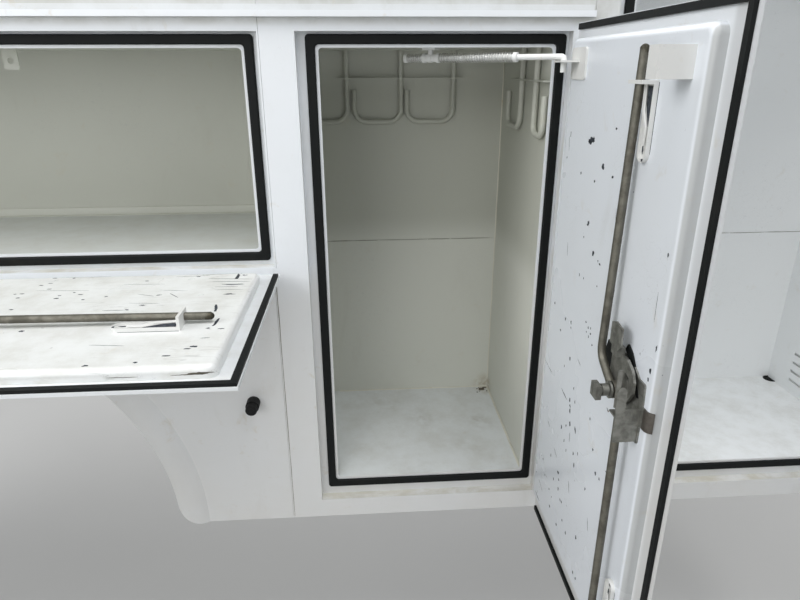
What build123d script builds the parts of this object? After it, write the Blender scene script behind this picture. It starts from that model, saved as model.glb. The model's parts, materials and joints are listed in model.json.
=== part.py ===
from build123d import *
from math import atan2, cos, hypot, radians, sin, tan
import os

os.makedirs("parts", exist_ok=True)

# Side cabinet of a truck service body, kerb side, in millimetres.
# +X runs to the front of the truck, +Y in towards the load bed, +Z up.
# The origin is the middle of the bolt pattern on the mounting rail, on the rail's outer face.

# Sheet metal and the cabinet's section
sheet = 3.0
depth = 423.0
rail_depth = 40.0
rail_height = 90.0
rail_sheet = 5.0
sill_z = -560.0
sill_return = 40.0
floor_z = -470.0
wheel_floor_z = 64.0
sheet_joint_above = 4.7
drip_z = 495.0
drip_out = 14.0
drip_lip = 10.0
drip_flange = 20.0
drip_sheet = 2.0
low_top_z = 540.0
high_top_z = 790.0
sheet_gap = 0.6
seat = 0.3

# Compartment openings along the body, rear to front
rear_margin = 54.0
front_margin = 59.0
vertical_width = 464.0
wheel_width = 1514.0
front_width = 759.0
wheel_pillar = 95.0
front_pillar = 106.0
vertical_bottom = -490.0
wheel_bottom = 60.0
low_opening_top = 467.0
high_opening_top = 717.0
step_wall_offset = 44.0
wall_inside = 16.0
wall_outside = 12.0

# Gutter round an opening, its flange and seal, and the lip that the door laps over
gutter_depth = 23.0
lip_latch = 18.5
lip_hinge = 8.0
lip_side = 11.5
lip_top = 6.0
lip_bottom = 24.0
seal_width = 17.0
seal_out = 2.5
seal_height = 6.5
seal_round = 3.0
seal_corner = 7.0
flange_inset = 20.0
flange_corner = 7.0

# Doors: overlap past the lip, thin rim, raised pan, seal strip near the rim
overlap_latch = 16.0
overlap_side = 11.5
overlap_top = 12.0
overlap_bottom = 32.0
skin_sheet = 5.0
door_gap = 5.3
pan_height = 18.0
pan_sheet = 2.5
pan_inset = 8.0
pan_hinge_inset = 15.0
pan_round = 9.0
pan_corner = 14.0
strip_width = 9.5
strip_inset = 1.8
strip_hinge_gap = 16.0

# Hinges
pin_out = 12.0
pin_radius = 2.5
knuckle_radius = 4.5
pin_clear = 0.1
pin_past_swing = 18.0
pin_past_drop = 27.0
hinge_leaf = 14.0
hinge_end = 20.0
leaf_sheet = 2.0
skin_from_pin = 5.8
knuckle_count = 5
knuckle_gap = 0.5

# Wheel arch
arch_radius = 513.0
arch_above_sill = 20.0
arch_corner = 57.0
flare_width = 62.0
flare_bulge = 11.0
flare_edge_share = 0.55
flare_crown_share = 0.4
flare_turn_in = 30.0
fender_seam_in = 9.0

# Latch rods, their guides and straps
rod_radius = 6.0
rod_standoff = 10.3
rod_rise = 7.0
low_rod_standoff = 19.5
swing_rod_v = 340.0
drop_rod_v = 280.0
rod_corner = 27.0
rod_bend = 25.0
low_rod_start = 18.0
swing_rod_end = 30.0
drop_rod_end = 45.0
guide_reach = 38.5
guide_sheet = 4.5
guide_past = 5.0
strap_length = 101.0
strap_width = 24.0
strap_height = 6.0
strap_sheet = 2.0
strap_offset = 18.0

# Strike block on the pan beside the rod's end
block_from_edge = 53.0
block_width = 26.0
block_length = 36.0
block_height = 42.0
block_sheet = 2.5

# Rotary latch, placed from the pan's free edge. The plate's outline is v and y from the pivot.
latch_outline = [(-64, 8), (-62, 37), (-30, 47), (8, 51), (24, 42), (36, 35), (54, 35), (56, 3), (54, -56),
                 (-15, -53), (-34, -18)]
latch_round = 3.0
latch_from_edge = 74.0
latch_y = -13.0
latch_sheet = 2.5
hub_radius = 22.0
hub_height = 4.3
rotor_outline = [(-34, 34), (-22, 50), (12, 52), (30, 44), (39, 30), (39, 14), (28, -5), (10, -16),
                 (-14, -16), (-27, 4)]
rotor_slot = [(10, 33), (25, 30), (27, 12), (17, -3), (10, 2)]
rotor_sheet = 4.0
tail_outline = [(-33, 60), (-5, 57), (4, 67), (1, 93), (-20, 96), (-33, 91)]
tail_off = 16.0
tail_riser = 8.0
bolt_radius = 6.0
bolt_top = 40.0
bolt_head = 21.0
bolt_head_height = 8.0
bolt_washers = [(24.0, 26.5, 12.5), (28.0, 37.0, 9.0)]
eye_radius = 12.5
eye_height = 9.0
bracket_height = 33.0
bracket_wall = 49.5
bracket_low = 53.0
bracket_high = 2.0
shelf_below = 23.0
shelf_from = 15.0
shelf_height = 28.0
tongue_height = 31.0
tongue_depth = 13.0
tongue_past = 3.5
stem_height = 56.0
stem_depth = 6.0
stem_past = 5.0
low_rod_offset = 28.0
hood_length = 30.0
hood_sheet = 2.0
hood_below = 11.5
hood_wrap = 0.7

# Outside handle in its dish
handle_width = 76.0
handle_length = 120.0
handle_sheet = 2.0
dish_width = 58.0
dish_length = 98.0
dish_depth = 15.0
dish_sheet = 1.5
spindle_radius = 8.0
paddle_margin = 6.0
paddle_sheet = 3.0

# Door check of the middle door, from the swivel under the ceiling to the pin on the door
check_rod_radius = 5.0
check_pin_v = 54.0
check_pin_w = 44.7
check_z = 430.0
check_eye_from_edge = 236.0
check_eye_in = 85.0
check_tail = 57.0
check_collar_at = 167.5
check_collar_radius = 8.3
check_collar_length = 7.0
check_drop = 25.0
check_bend = 5.5
check_plate_v0 = 44.0
check_plate_length = 68.0
check_plate_width = 50.0
check_plate_below = 6.0
check_plate_sheet = 3.0
check_shelf_length = 38.0
check_shelf_reach = 34.0
check_shelf_below = 6.0
swivel_radius = 8.0
swivel_half = 4.0
swivel_tube = 6.8
cup_radius = 8.8
cup_length = 6.0
cup_tail = 16.0
cup_front = 20.0
swivel_flange = 32.0
swivel_flange_width = 44.0
swivel_block = 20.0
swivel_block_width = 27.0
swivel_block_height = 7.0
swivel_neck = 7.5
spring_radius = 8.8
spring_bore = 6.8
short_spring_end = 24.0

# Ceilings, hooks and small fittings
ceiling_below = 12.0
hook_radius = 6.0
hook_sides = 8
hook_off_wall = 8.0
hook_width = 114.0
hook_narrow = 64.0
hook_bottom_z = 288.0
hook_tip_z = 362.0
hook_bend = 30.0
hook_narrow_bend = 20.0
hook_strip_z = 390.0
hook_strip_sheet = 3.0
hook_strip_past = 24.0
back_hooks_from_wall = [386.5, 255.0, 126.5]
deep_hook_from_back = 210.0
near_hook_from_back = 321.0
side_strip_back = 115.0
side_strip_front = 6.0
bump_radius = 14.0
bump_step = 12.0
bump_step_length = 14.0
bump_length = 36.0
bump_drop = 284.0
bump_from_seam = 64.7

# Louvres in the front compartment's wall
louvre_count = 4
louvre_pitch = 27.0
louvre_length = 150.0
louvre_height = 8.0
louvre_out = 9.0
louvre_top_z = -349.0
louvre_from_back = 84.0

# Mounting bolts
bolt_spacing_x = 2400.0
bolt_spacing_z = 50.0
bolt_hole_radius = 8.75

# Planes that the sizes above fix
inner_y = -(rail_depth + sheet)
face_y = inner_y - depth
total_length = (rear_margin + front_margin + 2 * vertical_width + wheel_width + front_width
                + 2 * wheel_pillar + front_pillar)
rear_x = -total_length / 2
front_x = total_length / 2
rear_x0 = rear_x + rear_margin
rear_x1 = rear_x0 + vertical_width
wheel_x0 = rear_x1 + wheel_pillar
wheel_x1 = wheel_x0 + wheel_width
mid_x0 = wheel_x1 + wheel_pillar
mid_x1 = mid_x0 + vertical_width
front_x0 = mid_x1 + front_pillar
front_x1 = front_x0 + front_width
step_x = mid_x1 + step_wall_offset
arch_x = (wheel_x0 + wheel_x1) / 2
arch_z = sill_z + arch_above_sill
pin_y = face_y - pin_out
wheel_pin_z = wheel_bottom - pin_past_drop
seal_plate_y = face_y + gutter_depth
behind_plate_y = seal_plate_y + sheet
half_gap = sheet_gap / 2

# Openings: name, x0, x1, z0, z1, and the lip's distance past the left, right, bottom and top edge
openings = [
    ("rear", rear_x0, rear_x1, vertical_bottom, low_opening_top, lip_hinge, lip_latch, lip_bottom, lip_top),
    ("wheel", wheel_x0, wheel_x1, wheel_bottom, low_opening_top, lip_side, lip_side, lip_side, lip_top),
    ("mid", mid_x0, mid_x1, vertical_bottom, low_opening_top, lip_latch, lip_hinge, lip_bottom, lip_top),
    ("front", front_x0, front_x1, vertical_bottom, high_opening_top, lip_latch, lip_hinge, lip_bottom, lip_top),
]


def wall_plane(y):
    """A plane at this Y, sketched along X and Z. Extruding by a negative amount goes inwards."""
    return Plane.XZ.offset(-y)


def side_plane(x):
    """A plane at this X, sketched along Y and Z. Extruding by a positive amount goes to +X."""
    return Plane.YZ.offset(x)


def rect(x0, x1, y0, y1, mode=Mode.ADD):
    """A rectangle between two corners, in the open sketch."""
    with Locations(((x0 + x1) / 2, (y0 + y1) / 2)):
        Rectangle(abs(x1 - x0), abs(y1 - y0), mode=mode)


def soft_rect(x0, x1, y0, y1, radius, mode=Mode.ADD):
    """A rectangle with rounded corners, in the open sketch."""
    with Locations(((x0 + x1) / 2, (y0 + y1) / 2)):
        RectangleRounded(abs(x1 - x0), abs(y1 - y0), radius, mode=mode)


def disc(x, y, radius, mode=Mode.ADD):
    """A round of this radius at a point of the open sketch."""
    with Locations((x, y)):
        Circle(radius, mode=mode)


def bent_bar(points, radius, bend, sides=0):
    """A bar through these points of space, with its corners bent to one radius: round, or with so many sides."""
    points = [Vector(point) for point in points]
    start = points[0]
    with BuildSketch() as section:
        if sides:
            RegularPolygon(radius, sides)
        else:
            Circle(radius)
    with BuildPart() as bar:
        for before, corner, after in zip(points, points[1:], points[2:]):
            into = (corner - before).normalized()
            out = (after - corner).normalized()
            turn = into.get_angle(out)
            reach = bend * tan(radians(turn) / 2)
            arc_start = corner - into * reach
            normal = into.cross(out).normalized()
            with BuildSketch(Plane(origin=start, x_dir=normal, z_dir=into)):
                add(section.sketch)
            extrude(amount=(arc_start - start).length)
            with BuildSketch(Plane(origin=arc_start, x_dir=normal, z_dir=into)):
                add(section.sketch)
            revolve(axis=Axis(arc_start + normal.cross(into) * bend, normal), revolution_arc=turn)
            start = corner + out * reach
        with BuildSketch(Plane(origin=start, x_dir=normal, z_dir=points[-1] - start)):
            add(section.sketch)
        extrude(amount=(points[-1] - start).length)
    return bar.part


def grow(edges, by):
    """The x0, x1, y0, y1 of a rectangle moved out by this much."""
    x0, x1, y0, y1 = edges
    return (x0 - by, x1 + by, y0 - by, y1 + by)


def save(part, name):
    part.label = name
    export_step(part, f"parts/{name}.step")


# Face panels, each with its opening's gutter. The joints beside the fender run down from the gutter.
seam_low = wheel_x1 + fender_seam_in
seam_high = wheel_x1 + lip_side + sheet
rear_seam_low = wheel_x0 - fender_seam_in
rear_seam_high = wheel_x0 - lip_side - sheet
seam_z = wheel_bottom - lip_side - sheet
panel_outlines = {
    "rear": [(rear_x, sill_z), (rear_seam_low - half_gap, sill_z), (rear_seam_low - half_gap, seam_z - half_gap),
             (rear_seam_high - sheet_gap, seam_z - half_gap), (rear_seam_high - sheet_gap, low_top_z),
             (rear_x, low_top_z)],
    "wheel": [(rear_seam_low + half_gap, sill_z), (seam_low - half_gap, sill_z), (seam_low - half_gap, seam_z),
              (seam_high, seam_z), (seam_high, low_top_z), (rear_seam_high, low_top_z),
              (rear_seam_high, seam_z), (rear_seam_low + half_gap, seam_z)],
    "mid": [(seam_low + half_gap, sill_z), (step_x - half_gap, sill_z), (step_x - half_gap, low_top_z),
            (seam_high + sheet_gap, low_top_z), (seam_high + sheet_gap, seam_z - half_gap),
            (seam_low + half_gap, seam_z - half_gap)],
    "front": [(step_x + half_gap, sill_z), (front_x, sill_z), (front_x, high_top_z),
              (step_x + half_gap, high_top_z)],
}
flare_radius = arch_radius + flare_width
flare_top_z = wheel_pin_z - hinge_leaf - sheet

# Where the arch's lower corners are rounded: a circle that touches the sill and the arch
foot_dx = ((arch_radius + arch_corner) ** 2 - (arch_corner - arch_above_sill) ** 2) ** 0.5
foot_z = sill_z + arch_corner
touch = arch_radius / (arch_radius + arch_corner)


def draw_panel(name):
    """Draws a face panel's outline in the open sketch; the fender's has the wheel arch cut out."""
    Polygon(*panel_outlines[name], align=None)
    if name == "wheel":
        disc(arch_x, arch_z, arch_radius, mode=Mode.SUBTRACT)
        rect(arch_x - arch_radius, arch_x + arch_radius, sill_z - 1, arch_z, mode=Mode.SUBTRACT)
        for side in (-1, 1):
            touch_x = arch_x + side * foot_dx * touch
            touch_z = arch_z + (foot_z - arch_z) * touch
            Polygon((arch_x, sill_z - 1), (arch_x, touch_z), (touch_x, touch_z), (arch_x + side * foot_dx, foot_z),
                    (arch_x + side * foot_dx, sill_z - 1), align=None, mode=Mode.SUBTRACT)
            disc(arch_x + side * foot_dx, foot_z, arch_corner)


with BuildPart() as flare:
    # A soft outward roll round the arch that turns in at the wheel opening
    edge_x = arch_x + arch_radius
    edge_y = face_y - flare_bulge * flare_edge_share
    crown_x = edge_x + flare_width * flare_crown_share
    with BuildSketch(Plane.XY.offset(arch_z)):
        with BuildLine():
            ThreePointArc((arch_x + flare_radius, face_y), (crown_x, face_y - flare_bulge), (edge_x, edge_y))
            Line((edge_x, edge_y), (edge_x, face_y + flare_turn_in))
            Line((edge_x, face_y + flare_turn_in), (edge_x + sheet, face_y + flare_turn_in))
            Line((edge_x + sheet, face_y + flare_turn_in), (edge_x + sheet, edge_y + sheet))
            ThreePointArc((edge_x + sheet, edge_y + sheet), (crown_x, face_y - flare_bulge + sheet),
                          (arch_x + flare_radius, face_y + sheet))
            Line((arch_x + flare_radius, face_y + sheet), (arch_x + flare_radius, face_y))
        make_face()
    revolve(axis=Axis((arch_x, 0, arch_z), (0, 1, 0)))
    with BuildSketch(wall_plane(face_y - 2 * flare_bulge)):
        draw_panel("wheel")
        rect(wheel_x0 - wheel_width, wheel_x1 + wheel_width, flare_top_z, low_top_z + sheet, mode=Mode.SUBTRACT)
    extrude(amount=-(2 * flare_bulge + 2 * flare_turn_in), mode=Mode.INTERSECT)

for name, x0, x1, z0, z1, left, right, bottom, top in openings:
    lip = (x0 - left, x1 + right, z0 - bottom, z1 + top)
    edge = grow((x0, x1, z0, z1), -flange_inset)
    with BuildPart() as panel:
        with BuildSketch(wall_plane(face_y)):
            draw_panel(name)
            if name == "wheel":
                with BuildSketch(mode=Mode.PRIVATE) as flare_seat:
                    disc(arch_x, arch_z, flare_radius)
                    rect(wheel_x0, wheel_x1, flare_top_z, low_top_z, mode=Mode.SUBTRACT)
                add(flare_seat.sketch, mode=Mode.SUBTRACT)
            rect(*lip, mode=Mode.SUBTRACT)
        extrude(amount=-sheet)
        # Gutter walls behind the lip, and the flange that carries the seal
        with BuildSketch(wall_plane(face_y)):
            rect(*grow(lip, sheet))
            rect(*lip, mode=Mode.SUBTRACT)
        extrude(amount=-(gutter_depth + sheet))
        with BuildSketch(wall_plane(seal_plate_y)):
            rect(*grow(lip, sheet))
            soft_rect(*edge, flange_corner, mode=Mode.SUBTRACT)
        extrude(amount=-sheet)
        # The sill turns in under the cabinet
        sill_ends = [(panel_outlines[name][0][0], panel_outlines[name][1][0])]
        if name == "wheel":
            add(flare.part)
            sill_ends = [(sill_ends[0][0], arch_x - foot_dx), (arch_x + foot_dx, sill_ends[0][1])]
        for start, end in sill_ends:
            with BuildSketch(wall_plane(face_y)):
                rect(start, end, sill_z, sill_z + sheet)
            extrude(amount=-sill_return)
    save(panel.part, f"face_{name}")

# Bulb seals stuck on the flanges, a little back from their edges
with BuildPart() as seals:
    for name, x0, x1, z0, z1, left, right, bottom, top in openings:
        outside = grow((x0, x1, z0, z1), seal_out)
        with BuildSketch(wall_plane(seal_plate_y)):
            soft_rect(*outside, seal_corner)
            soft_rect(*grow(outside, -seal_width), seal_corner, mode=Mode.SUBTRACT)
        extrude(amount=seal_height)
    fillet(seals.faces().filter_by(Axis.Y).group_by(Axis.Y)[0].edges(), seal_round)
save(seals.part, "seals")

# Inner wall in two sheets with the joint between them, cut round the wheelhouse
liner_bore = arch_radius + sheet + seat
liner_radius = liner_bore + sheet
sheet_joint_z = arch_z + liner_radius + sheet_joint_above
with BuildPart() as inner_wall_upper:
    with BuildSketch(wall_plane(inner_y)):
        rect(rear_x, front_x, sheet_joint_z + half_gap, low_top_z)
        rect(step_x, front_x, sheet_joint_z + half_gap, high_top_z)
    extrude(amount=-sheet)
save(inner_wall_upper.part, "inner_wall_upper")

with BuildPart() as inner_wall_lower:
    with BuildSketch(wall_plane(inner_y)):
        rect(rear_x, front_x, sill_z, sheet_joint_z - half_gap)
        disc(arch_x, arch_z, liner_radius + seat, mode=Mode.SUBTRACT)
        rect(arch_x - liner_radius - seat, arch_x + liner_radius + seat, sill_z - 1, arch_z, mode=Mode.SUBTRACT)
    extrude(amount=-sheet)
save(inner_wall_lower.part, "inner_wall_lower")

with BuildPart() as wheelhouse_liner:
    with BuildSketch(wall_plane(face_y + sheet)):
        disc(arch_x, arch_z, liner_radius)
        disc(arch_x, arch_z, liner_bore, mode=Mode.SUBTRACT)
        rect(arch_x - 2 * arch_radius, arch_x + 2 * arch_radius, arch_z - 2 * arch_radius, foot_z,
             mode=Mode.SUBTRACT)
    extrude(amount=-depth)
save(wheelhouse_liner.part, "wheelhouse_liner")

# Roofs, and the drip rail over the low doors
with BuildPart() as roof_low:
    with BuildSketch(side_plane(rear_x)):
        rect(face_y + sheet, inner_y, low_top_z - sheet, low_top_z)
    extrude(amount=step_x - rear_x)
save(roof_low.part, "roof_low")

with BuildPart() as roof_front:
    with BuildSketch(side_plane(step_x)):
        rect(face_y + sheet, inner_y, high_top_z - sheet, high_top_z)
    extrude(amount=front_x - step_x)
save(roof_front.part, "roof_front")

with BuildPart() as drip_rail:
    with BuildSketch(side_plane(rear_x)):
        rect(face_y - drip_sheet, face_y, drip_z, drip_z + drip_flange)
        rect(face_y - drip_out, face_y, drip_z, drip_z + drip_sheet)
        rect(face_y - drip_out, face_y - drip_out + drip_sheet, drip_z, drip_z + drip_lip)
    extrude(amount=step_x - sheet - rear_x)
save(drip_rail.part, "drip_rail")

# End walls, and the step wall beside the raised front
upright_walls = [
    ("end_wall_rear", rear_x, sill_z + sheet, low_top_z - sheet),
    ("end_wall_front", front_x - sheet, sill_z + sheet, high_top_z - sheet),
    ("step_wall", step_x, floor_z - sheet, high_top_z - sheet),
]
for name, x, z0, z1 in upright_walls:
    with BuildPart() as wall:
        with BuildSketch(side_plane(x)):
            rect(face_y + sheet, inner_y, z0, z1)
        extrude(amount=sheet)
    save(wall.part, name)

# Partitions, behind the flanges
partitions = [
    rear_x0 + wall_inside - sheet,
    wheel_x0 - wall_outside - sheet,
    wheel_x1 + wall_outside,
    mid_x1 - wall_inside,
]
with BuildPart() as partition_walls:
    for x in partitions:
        with BuildSketch(side_plane(x)):
            rect(behind_plate_y, inner_y, floor_z - sheet, low_top_z - sheet)
        extrude(amount=sheet)
save(partition_walls.part, "partitions")

# Louvred wall at the front: slots with hoods pressed out of it
louvre_x = front_x1 - wall_inside
louvre_y = inner_y - louvre_from_back
with BuildPart() as louvred_wall:
    with BuildSketch(side_plane(louvre_x)):
        rect(behind_plate_y, inner_y, floor_z - sheet, high_top_z - sheet)
        for i in range(louvre_count):
            z = louvre_top_z - i * louvre_pitch
            rect(louvre_y - louvre_length, louvre_y, z - louvre_height, z, mode=Mode.SUBTRACT)
    extrude(amount=sheet)
    for i in range(louvre_count):
        z = louvre_top_z - i * louvre_pitch
        with BuildSketch(wall_plane(louvre_y)):
            Polygon((louvre_x, z), (louvre_x, z + sheet), (louvre_x + sheet, z + sheet),
                    (louvre_x + louvre_out, z - louvre_height), (louvre_x + louvre_out - sheet, z - louvre_height),
                    (louvre_x + sheet / 2, z), align=None)
        extrude(amount=louvre_length)
save(louvred_wall.part, "louvred_wall")

# Floors and ceilings between the walls: x0, x1, floor z, ceiling z
bays = [
    (rear_x0 + wall_inside, wheel_x0 - wall_outside - sheet, floor_z, low_opening_top - ceiling_below),
    (wheel_x0 - wall_outside, wheel_x1 + wall_outside, wheel_floor_z, low_opening_top - ceiling_below),
    (wheel_x1 + wall_outside + sheet, mid_x1 - wall_inside, floor_z, low_opening_top - ceiling_below),
    (step_x + sheet, louvre_x, floor_z, high_opening_top - ceiling_below),
]
with BuildPart() as floors:
    for x0, x1, z, top in bays:
        with BuildSketch(Plane.XY.offset(z)):
            rect(x0, x1, behind_plate_y, inner_y)
        extrude(amount=-sheet)
save(floors.part, "floors")

with BuildPart() as ceilings:
    for x0, x1, z, top in bays:
        with BuildSketch(Plane.XY.offset(top)):
            rect(x0, x1, behind_plate_y, inner_y)
        extrude(amount=-sheet)
save(ceilings.part, "ceilings")
low_ceiling_z = low_opening_top - ceiling_below - sheet

# Mounting rail: a channel on the inner wall with the bolt holes in its web
with BuildPart() as mounting_rail:
    with BuildSketch(side_plane(rear_x + rear_margin)):
        rect(-rail_depth, 0, -rail_height / 2, rail_height / 2)
        rect(-rail_depth, -rail_sheet, -rail_height / 2 + rail_sheet, rail_height / 2 - rail_sheet,
             mode=Mode.SUBTRACT)
    extrude(amount=total_length - rear_margin - front_margin)
    with BuildSketch(wall_plane(-rail_sheet)):
        with GridLocations(bolt_spacing_x, bolt_spacing_z, 2, 2):
            Circle(bolt_hole_radius)
    extrude(amount=-rail_sheet, mode=Mode.SUBTRACT)
save(mounting_rail.part, "mounting_rail")

# Rubber bump stops on the fender that the hanging drop door comes down on
with BuildPart() as bump_stops:
    for x in (seam_low - bump_from_seam, rear_seam_low + bump_from_seam):
        with BuildSketch(wall_plane(face_y)):
            disc(x, wheel_pin_z - bump_drop, bump_radius)
        extrude(amount=bump_length - bump_step_length)
        with BuildSketch(wall_plane(face_y)):
            disc(x, wheel_pin_z - bump_drop, bump_step)
        extrude(amount=bump_length)
save(bump_stops.part, "bump_stops")


def hook_points(width):
    """Across and up: from the ceiling down the bar, along the bottom and up to the tip."""
    return [(0, low_ceiling_z - seat), (0, hook_bottom_z), (-width, hook_bottom_z), (-width, hook_tip_z)]


# Hooks of round bar under the ceiling, with a strip welded across them
hook_wall_x = mid_x1 - wall_inside
back_hooks_x = [hook_wall_x - away for away in back_hooks_from_wall]
back_hook_y = inner_y - hook_off_wall
with BuildPart() as hooks_back:
    for x in back_hooks_x:
        add(bent_bar([(x + across, back_hook_y, z) for across, z in hook_points(hook_width)],
                     hook_radius, hook_bend, hook_sides))
    with BuildSketch(Plane.XY.offset(hook_strip_z)):
        rect(back_hooks_x[0] - hook_strip_past, back_hooks_x[-1] + hook_strip_past, back_hook_y - hook_radius,
             inner_y)
    extrude(amount=-hook_strip_sheet)
save(hooks_back.part, "hooks_back")

# Each side hook's y, the way its bend points, its width and its bend
side_hook_x = hook_wall_x - hook_off_wall
side_hooks = [
    (inner_y - deep_hook_from_back, -1, hook_width, hook_bend),
    (inner_y - near_hook_from_back, 1, hook_narrow, hook_narrow_bend),
]
with BuildPart() as hooks_side:
    for y, way, width, bend in side_hooks:
        add(bent_bar([(side_hook_x, y + way * across, z) for across, z in hook_points(width)],
                     hook_radius, bend, hook_sides))
    with BuildSketch(Plane.XY.offset(hook_strip_z)):
        rect(side_hook_x - hook_radius, hook_wall_x, behind_plate_y + side_strip_front, inner_y - side_strip_back)
    extrude(amount=-hook_strip_sheet)
save(hooks_side.part, "hooks_side")

# Doors. In a door's plane x is v, from the pin to the free edge, y runs along the pin, and z is w, into the
# cabinet when the door is closed. flip is -1 where y runs down instead of up.
flange_w = pin_out - door_gap
skin_w = flange_w - skin_sheet
pan_w = flange_w + pan_height
rod_w = pan_w + rod_standoff
rod_latch_w = rod_w + rod_rise
low_rod_w = pan_w + low_rod_standoff
swing_y0 = vertical_bottom - lip_bottom - overlap_bottom
swing_y1 = low_opening_top + lip_top + overlap_top
high_y1 = high_opening_top + lip_top + overlap_top
swing_v1 = vertical_width + pin_past_swing + lip_latch + overlap_latch
front_v1 = front_width + pin_past_swing + lip_latch + overlap_latch
drop_v1 = low_opening_top + lip_top + overlap_top - wheel_pin_z
drop_half = wheel_width / 2 + lip_side + overlap_side
rear_pin_x = rear_x0 - pin_past_swing
mid_pin_x = mid_x1 + pin_past_swing
front_pin_x = front_x1 + pin_past_swing
front_rod_v = swing_rod_v + front_width - vertical_width
rear_plane = Plane(origin=(rear_pin_x, pin_y, 0), x_dir=(1, 0, 0), z_dir=(0, 1, 0))
wheel_plane = Plane(origin=(arch_x, pin_y, wheel_pin_z), x_dir=(0, -1, 0), z_dir=(0, 0, 1))
mid_plane = Plane(origin=(mid_pin_x, pin_y, 0), x_dir=(0, -1, 0), z_dir=(-1, 0, 0))
front_plane = Plane(origin=(front_pin_x, pin_y, 0), x_dir=(0, -1, 0), z_dir=(-1, 0, 0))

# Name, plane, flip, hinge leaf's direction, skin's v1, y0, y1, opening's v0, v1, y0, y1,
# rod's v, rod's end, latch's y
doors = [
    ("rear", rear_plane, -1, (-1, 0, 0), swing_v1, swing_y0, swing_y1,
     pin_past_swing, pin_past_swing + vertical_width, vertical_bottom, low_opening_top,
     swing_rod_v, swing_rod_end, latch_y),
    ("wheel", wheel_plane, 1, (0, 0, -1), drop_v1, -drop_half, drop_half,
     pin_past_drop, low_opening_top - wheel_pin_z, -wheel_width / 2, wheel_width / 2,
     drop_rod_v, drop_rod_end, 0.0),
    ("mid", mid_plane, 1, (1, 0, 0), swing_v1, swing_y0, swing_y1,
     pin_past_swing, pin_past_swing + vertical_width, vertical_bottom, low_opening_top,
     swing_rod_v, swing_rod_end, latch_y),
    ("front", front_plane, 1, (1, 0, 0), front_v1, swing_y0, high_y1,
     pin_past_swing, pin_past_swing + front_width, vertical_bottom, high_opening_top,
     front_rod_v, swing_rod_end, latch_y),
]


def knuckles(y0, y1, on_door):
    """Start and end along the pin of the hinge's knuckles: the even ones are the cabinet's."""
    step = (y1 - y0) / knuckle_count
    first = 1 if on_door else 0
    gap = knuckle_gap if on_door else 0
    return [(y0 + i * step + gap, y0 + (i + 1) * step - gap) for i in range(first, knuckle_count, 2)]


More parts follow.
